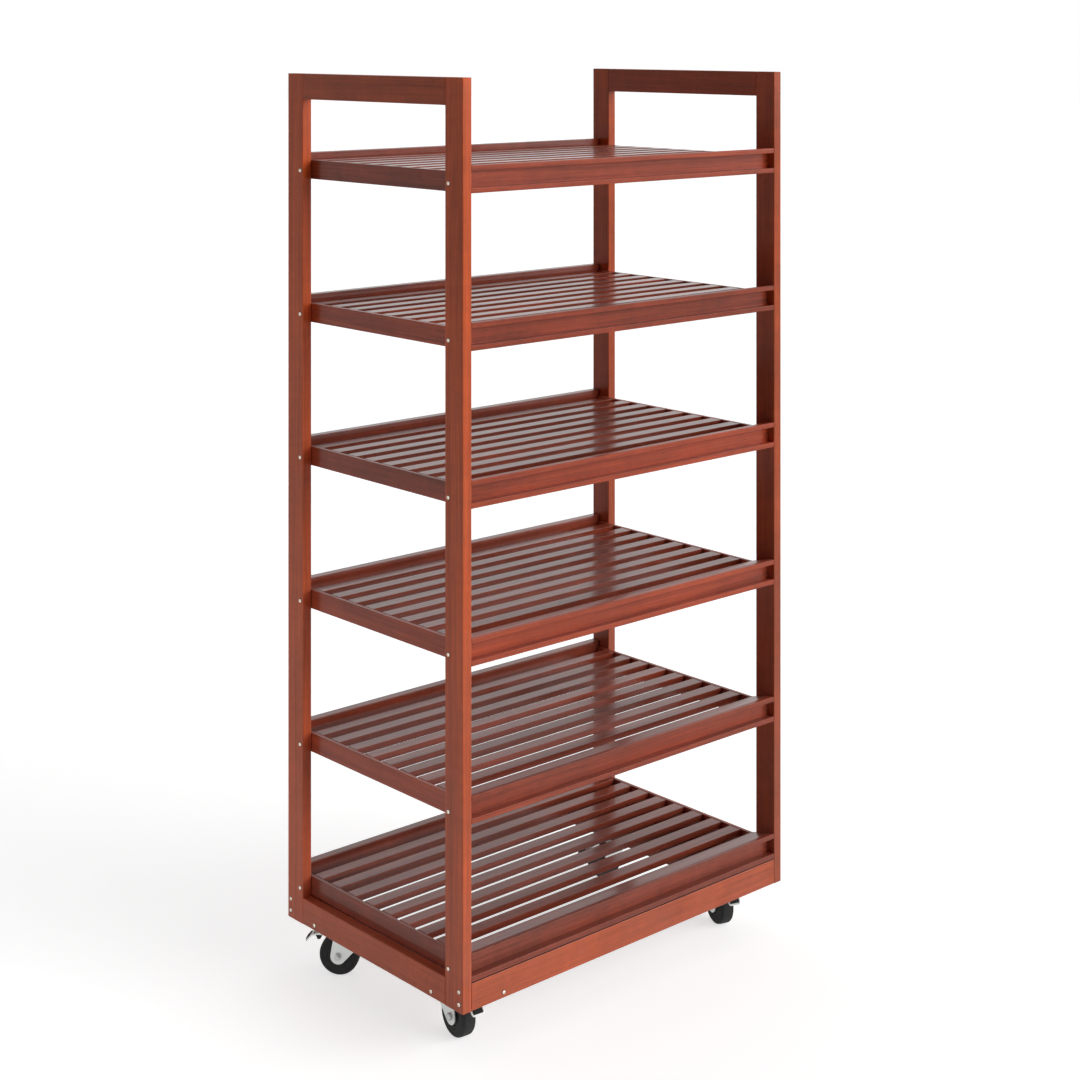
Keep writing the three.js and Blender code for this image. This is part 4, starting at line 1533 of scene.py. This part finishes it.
def add_brake_lever(casters):
    """A foot lever with a bent lip, ribs for grip, two cheeks and its pivot pin."""
    half = LEVER_WIDTH / 2
    top = LEVER_UNDERSIDE + LEVER_STEEL
    middle = LEVER_UNDERSIDE + LEVER_STEEL / 2
    lip_reach = LEVER_BEND + LIP_LENGTH * math.cos(LIP_DROP)
    lip_bottom = LEVER_UNDERSIDE - LIP_LENGTH * math.sin(LIP_DROP)
    end = lip_reach + LEVER_STEEL * math.sin(LIP_DROP)
    upright, leaning = math.pi / 2, math.pi / 2 - LIP_DROP
    bend = (
        LEVER_BEND - LEVER_BEND_RADIUS * math.tan(LIP_DROP / 2),
        LEVER_UNDERSIDE - LEVER_BEND_RADIUS,
    )
    side_view = [
        (LEVER_START, LEVER_UNDERSIDE),
        *arc(bend, LEVER_BEND_RADIUS, upright, leaning, steps=6),
        (lip_reach, lip_bottom),
        (end, lip_bottom + LEVER_STEEL * math.cos(LIP_DROP)),
        *arc(bend, LEVER_BEND_RADIUS + LEVER_STEEL, leaning, upright, steps=6),
        (LEVER_START, top),
    ]
    lever = add_prism("lever", side_view, Y, -half, half)
    outline = [
        (LEVER_START - RUN_PAST, half),
        (LEVER_START - RUN_PAST, -half),
        *arc((end - LEVER_CORNER, -half + LEVER_CORNER), LEVER_CORNER, -upright, 0),
        *arc((end - LEVER_CORNER, half - LEVER_CORNER), LEVER_CORNER, 0, upright),
    ]
    trimmed = add_prism("outline", outline, Z, lip_bottom - RUN_PAST, top + RUN_PAST)
    combine(lever, trimmed, "INTERSECT")
    cheek = [
        *arc((0, 0), BRAKE_EYE_RADIUS, upright, 3 * upright, steps=14),
        (CHEEK_REACH, LEVER_UNDERSIDE - RUN_PAST),
        (CHEEK_REACH, middle),
    ]
    inside = TONGUE_WIDTH / 2 + JOINT_GAP
    outside = inside + CHEEK_THICKNESS
    for near, far in ((-outside, -inside), (inside, outside)):
        combine(lever, add_prism("cheek", cheek, Y, near, far), "UNION")
    pin_end = outside + BRAKE_PIN_TAIL
    pin = circle((0, 0), BRAKE_PIN_RADIUS, corners=24)
    combine(lever, add_prism("pin", pin, Y, -pin_end, pin_end), "UNION")
    add_ribs(lever, middle, top, LEVER_RIB_SIZE, **LEVER_RIBS)
    merge_close(lever)
    return ease_edges(lever, LEVER_ROUNDING_SHARE * casters.edge_rounding)


def add_lever_pad():
    """A ribbed rubber pad, drawn from the bend of the lever along its lip."""
    pad = add_block("pad", PAD_LOW, PAD_HIGH)
    add_ribs(pad, PAD_LOW.z + PAD_RIB_ROOT, PAD_HIGH.z, PAD_RIB_SIZE, **PAD_RIBS)
    merge_close(pad)
    return ease_edges(pad, PAD_ROUNDING)


def add_brake_shoe():
    """A wedge of rubber under the lever."""
    outline = [
        (SHOE_TOP["start"], SHOE_TOP["height"]),
        (SHOE_BOTTOM["start"], SHOE_BOTTOM["height"]),
        (SHOE_BOTTOM["end"], SHOE_BOTTOM["height"]),
        (SHOE_TOP["end"], SHOE_TOP["height"]),
    ]
    shoe = add_prism("shoe", outline, Y, -SHOE_WIDTH / 2, SHOE_WIDTH / 2)
    return ease_edges(shoe, SHOE_ROUNDING, segments=3)


class BuildCasterSteel(bpy.types.Operator):
    """Build the plates, forks, axle bolts and brakes of the casters"""

    bl_idname = "bread_rack.caster_steel"
    bl_label = "Caster Steel and Brakes"

    def execute(self, context):
        casters = context.scene.bread_rack_casters
        make_finishes(context.scene)
        zinc, bolt = bpy.data.materials["zinc_steel"], bpy.data.materials["bolt_steel"]
        rubber = bpy.data.materials["black_rubber"]
        tilt = Matrix.Rotation(LEVER_TILT, 4, "Y")
        on_pivot = Matrix.Translation((BRAKE_REACH, 0, BRAKE_HEIGHT)) @ tilt
        bend = Matrix.Translation((LEVER_BEND, 0, LEVER_UNDERSIDE))
        on_lip = on_pivot @ bend @ Matrix.Rotation(LIP_DROP, 4, "Y")
        pad = add_lever_pad()
        plate = add_top_plate(casters)
        patterns = (
            (add_fork(casters), "fork", "swivel_fork", zinc, "zinc_steel", Matrix()),
            (add_axle_bolt(casters), "axle_bolt", "swivel_fork", bolt, "bolt_steel", Matrix()),
            (add_brake_lever(casters), "brake_lever", "brake", zinc, "zinc_steel", on_pivot),
            (add_brake_shoe(), "brake_shoe", "brake", rubber, "black_rubber", on_pivot),
        )
        for corner in CORNERS:
            copy = copy_piece(plate, f"{corner}_top_plate", caster_place(corner))
            dress(copy, zinc, "rack", [f"{corner}_caster_plate"])
            for pattern, part, body, finish, slot, local in patterns:
                matrix = caster_turn(corner) @ local
                copy = copy_piece(pattern, f"{corner}_{part}_dressed", matrix)
                dress(copy, finish, f"{corner}_{body}", [f"{corner}_{part}"])
            copy = copy_piece(pad, f"{corner}_lever_pad", caster_turn(corner) @ on_lip)
            dress(copy, rubber, f"{corner}_brake")
        discard(plate, pad, *[row[0] for row in patterns])
        return {"FINISHED"}


def both_sides(side):
    """A half outline joined to its mirror image across the wheel."""
    return side + [(radius, -across) for radius, across in reversed(side)]


def tyre_section():
    """Outline of a tyre: a crowned tread, round shoulders and a groove in each side."""
    half, outer = TYRE_WIDTH / 2, WHEEL_RADIUS
    shoulder = (outer - TYRE_CROWN - TYRE_SHOULDER, half - TYRE_SHOULDER)
    groove = TYRE_GROOVE["radius"]
    side = [
        (HUB_RADIUS, half - TYRE_FACE_STEP),
        (HUB_RADIUS + TYRE_FACE_SLOPE, half),
        (groove - TYRE_GROOVE["width"] / 2, half),
        (groove - TYRE_GROOVE["width"] / 4, half - TYRE_GROOVE["depth"]),
        (groove + TYRE_GROOVE["width"] / 4, half - TYRE_GROOVE["depth"]),
        (groove + TYRE_GROOVE["width"] / 2, half),
        *arc(shoulder, TYRE_SHOULDER, math.pi / 2, 0),
        (outer, TYRE_FLAT),
    ]
    return both_sides(side)


def hub_section():
    """Outline of a wheel's hub: a bored boss, a thin web and a rim inside the tyre."""
    rim = HUB_RADIUS - JOINT_GAP
    rim_half = TYRE_WIDTH / 2 - TYRE_FACE_STEP
    web_half = rim_half - HUB_FACE_RECESS
    side = [
        (AXLE_RADIUS + JOINT_GAP, HUB_BOSS_LENGTH / 2),
        (HUB_BOSS_RADIUS, HUB_BOSS_LENGTH / 2),
        (HUB_BOSS_RADIUS + HUB_DRAFT, web_half),
        (rim - HUB_RIM_WALL - HUB_DRAFT, web_half),
        (rim - HUB_RIM_WALL, rim_half),
        (rim, rim_half),
    ]
    return both_sides(side)


def mark_tread(tyre):
    """Stores which part of a tyre meets the floor."""
    axle = Vector((TRAIL, 0, AXLE_HEIGHT))
    tread = tyre.data.attributes.new("tread", "FLOAT", "POINT")
    start, full = WHEEL_RADIUS - TYRE_SHOULDER / 2, WHEEL_RADIUS - TYRE_CROWN
    for vertex, row in zip(tyre.data.vertices, tread.data):
        radius = (vertex.co - axle).xz.length
        row.value = min(1.0, max(0.0, (radius - start) / (full - start)))


class BuildWheels(bpy.types.Operator):
    """Build the tyres and hubs of the casters"""

    bl_idname = "bread_rack.wheels"
    bl_label = "Wheels"

    def execute(self, context):
        casters = context.scene.bread_rack_casters
        make_finishes(context.scene)
        tyre = add_turned("tyre", tyre_section(), casters.wheel_steps)
        mark_tread(tyre)
        smooth_faces(tyre)
        hub = add_turned("hub", hub_section(), casters.wheel_steps)
        ease_edges(hub, HUB_ROUNDING)
        rubber, plastic = bpy.data.materials["black_rubber"], bpy.data.materials["black_plastic"]
        for corner in CORNERS:
            matrix = caster_turn(corner)
            for pattern, part, finish in ((tyre, "tyre", rubber), (hub, "hub", plastic)):
                copy = copy_piece(pattern, f"{corner}_{part}_dressed", matrix)
                dress(copy, finish, f"{corner}_wheel", [f"{corner}_{part}"])
        discard(tyre, hub)
        return {"FINISHED"}


# Stage


def seen_directly(tree):
    """1 for what the camera sees, itself or mirrored in a piece, and 0 for light on a surface."""
    light = tree.nodes.new("ShaderNodeLightPath").outputs
    seen = calculate(tree, "MAXIMUM", light["Is Camera Ray"], light["Is Glossy Ray"])
    return calculate(tree, "MAXIMUM", seen, light["Is Transmission Ray"])


def make_floor_finish(stage):
    """A pale floor that keeps a gentle shadow and shows white to the camera elsewhere."""
    tree, shader, coordinates = new_material("pale_floor")
    mottle = noise(tree, coordinates.outputs["Object"], 0.8)
    shade = remap(tree, mottle, 0.3, 0.7, 0.985, 1.0)
    surface = {
        "Base Color": scale_vector(tree, stage.floor_colour, shade),
        "Roughness": 0.9,
        "Specular IOR Level": 0.0,
        "Emission Color": WHITE,
        "Emission Strength": calculate(tree, "MULTIPLY", seen_directly(tree), stage.floor_lift),
    }
    feed(tree, shader, surface)


def light_world(scene, stage):
    """Soft light that grows from the left front to the right back, behind a white background."""
    world = bpy.data.worlds.new("white_studio")
    world.use_nodes = True
    tree = world.node_tree
    tree.nodes.clear()
    direction = tree.nodes.new("ShaderNodeTexCoord").outputs["Generated"]
    aim = Vector(stage.fill_turn).normalized()
    facing = place(
        tree, "ShaderNodeVectorMath", {0: direction, 1: aim}, operation="DOT_PRODUCT"
    ).outputs["Value"]
    glow = remap(tree, facing, FILL_START, 1.0, stage.ambient, stage.fill_strength)
    strength = remap(tree, seen_directly(tree), 0.0, 1.0, glow, 1.0)
    background = place(tree, "ShaderNodeBackground", {"Color": WHITE, "Strength": strength})
    output = tree.nodes.new("ShaderNodeOutputWorld")
    tree.links.new(background.outputs[0], output.inputs["Surface"])
    scene.world = world


def camera_axes(turn, drop):
    """Axes of a view camera: its picture plane stays upright while its lens looks down."""
    right = Vector((math.cos(turn), -math.sin(turn), 0))
    sight = Vector((math.sin(turn), math.cos(turn), -drop)).normalized()
    return Matrix((right, Vector((0, 0, 1)), -sight)).transposed().to_4x4()


def add_floor(stage):
    """A wide slab whose top is level with the feet of the casters."""
    half = stage.floor_size / 2
    low, high = Vector((-half, -half, -FLOOR_THICKNESS)), Vector((half, half, 0))
    floor = add_block("floor", low, high)
    make_floor_finish(stage)
    floor.data.materials.append(bpy.data.materials["pale_floor"])


def hang_light(scene, light, direction, location=(0, 0, 0)):
    """Hangs a light at a place so that it shines from a direction."""
    lamp = bpy.data.objects.new(light.name, light)
    lamp.location = location
    lamp.rotation_euler = Vector(direction).to_track_quat("Z", "Y").to_euler()
    scene.collection.objects.link(lamp)
    return lamp


def add_key(scene, stage):
    """A broad soft light from the front right."""
    key = bpy.data.lights.new("key", "SUN")
    key.energy = stage.key_strength
    key.angle = stage.key_softness
    hang_light(scene, key, stage.key_turn)


def add_card(scene, stage):
    """A low card that throws a little light on the left end, unseen by the camera."""
    card = bpy.data.lights.new("card", "AREA")
    card.shape = "RECTANGLE"
    card.energy = stage.card_strength
    card.size, card.size_y = stage.card_size
    lamp = hang_light(scene, card, OUTWARD["left"], stage.card_place)
    lamp.visible_camera = False


def add_camera(scene, stage):
    """A view camera on its tripod."""
    camera = bpy.data.cameras.new("camera")
    camera.lens = stage.lens
    tripod = bpy.data.objects.new("tripod", None)
    tripod.location = stage.camera_place
    head = bpy.data.objects.new("camera", camera)
    head.parent = tripod
    head.matrix_parent_inverse = camera_axes(stage.camera_turn, stage.camera_drop)
    for stand in (tripod, head):
        scene.collection.objects.link(stand)
    scene.camera = head


class BuildStage(bpy.types.Operator):
    """Build the floor, the lights and the camera"""

    bl_idname = "bread_rack.stage"
    bl_label = "Stage"

    def execute(self, context):
        scene, stage = context.scene, context.scene.bread_rack_stage
        scene.view_settings.view_transform = "Standard"
        add_floor(stage)
        light_world(scene, stage)
        add_key(scene, stage)
        add_card(scene, stage)
        add_camera(scene, stage)
        return {"FINISHED"}


# Add-on


SETTINGS = {
    "bread_rack_wood": WoodSettings,
    "bread_rack_screws": ScrewSettings,
    "bread_rack_casters": CasterSettings,
    "bread_rack_stage": StageSettings,
}
OPERATORS = (
    BuildStage,
    BuildEndFrames,
    BuildBase,
    BuildShelfRails,
    BuildSlatDecks,
    BuildScrews,
    BuildCasterSteel,
    BuildWheels,
)


class BreadRackPanel(bpy.types.Panel):
    """Lists the steps that build the rack, and their settings"""

    bl_idname = "VIEW3D_PT_bread_rack"
    bl_label = "Bread Rack"
    bl_space_type = "VIEW_3D"
    bl_region_type = "UI"
    bl_category = "Bread Rack"

    def draw(self, context):
        for operator in OPERATORS:
            self.layout.operator(operator.bl_idname)
        for name in SETTINGS:
            box = self.layout.box()
            settings = getattr(context.scene, name)
            for label in settings.__annotations__:
                box.prop(settings, label)


CLASSES = (*SETTINGS.values(), *OPERATORS, BreadRackPanel)


def register():
    """Registers the classes and hangs the settings on the scene."""
    for cls in CLASSES:
        bpy.utils.register_class(cls)
    for name, group in SETTINGS.items():
        setattr(bpy.types.Scene, name, bpy.props.PointerProperty(type=group))


def unregister():
    """Takes the settings off the scene and unregisters the classes."""
    for name in SETTINGS:
        delattr(bpy.types.Scene, name)
    for cls in reversed(CLASSES):
        bpy.utils.unregister_class(cls)


def main():
    """Builds the whole rack."""
    register()
    bpy.ops.bread_rack.stage()
    bpy.ops.bread_rack.end_frames()
    bpy.ops.bread_rack.base()
    bpy.ops.bread_rack.shelf_rails()
    bpy.ops.bread_rack.slat_decks()
    bpy.ops.bread_rack.screws()
    bpy.ops.bread_rack.caster_steel()
    bpy.ops.bread_rack.wheels()


if __name__ == "__main__":
    main()
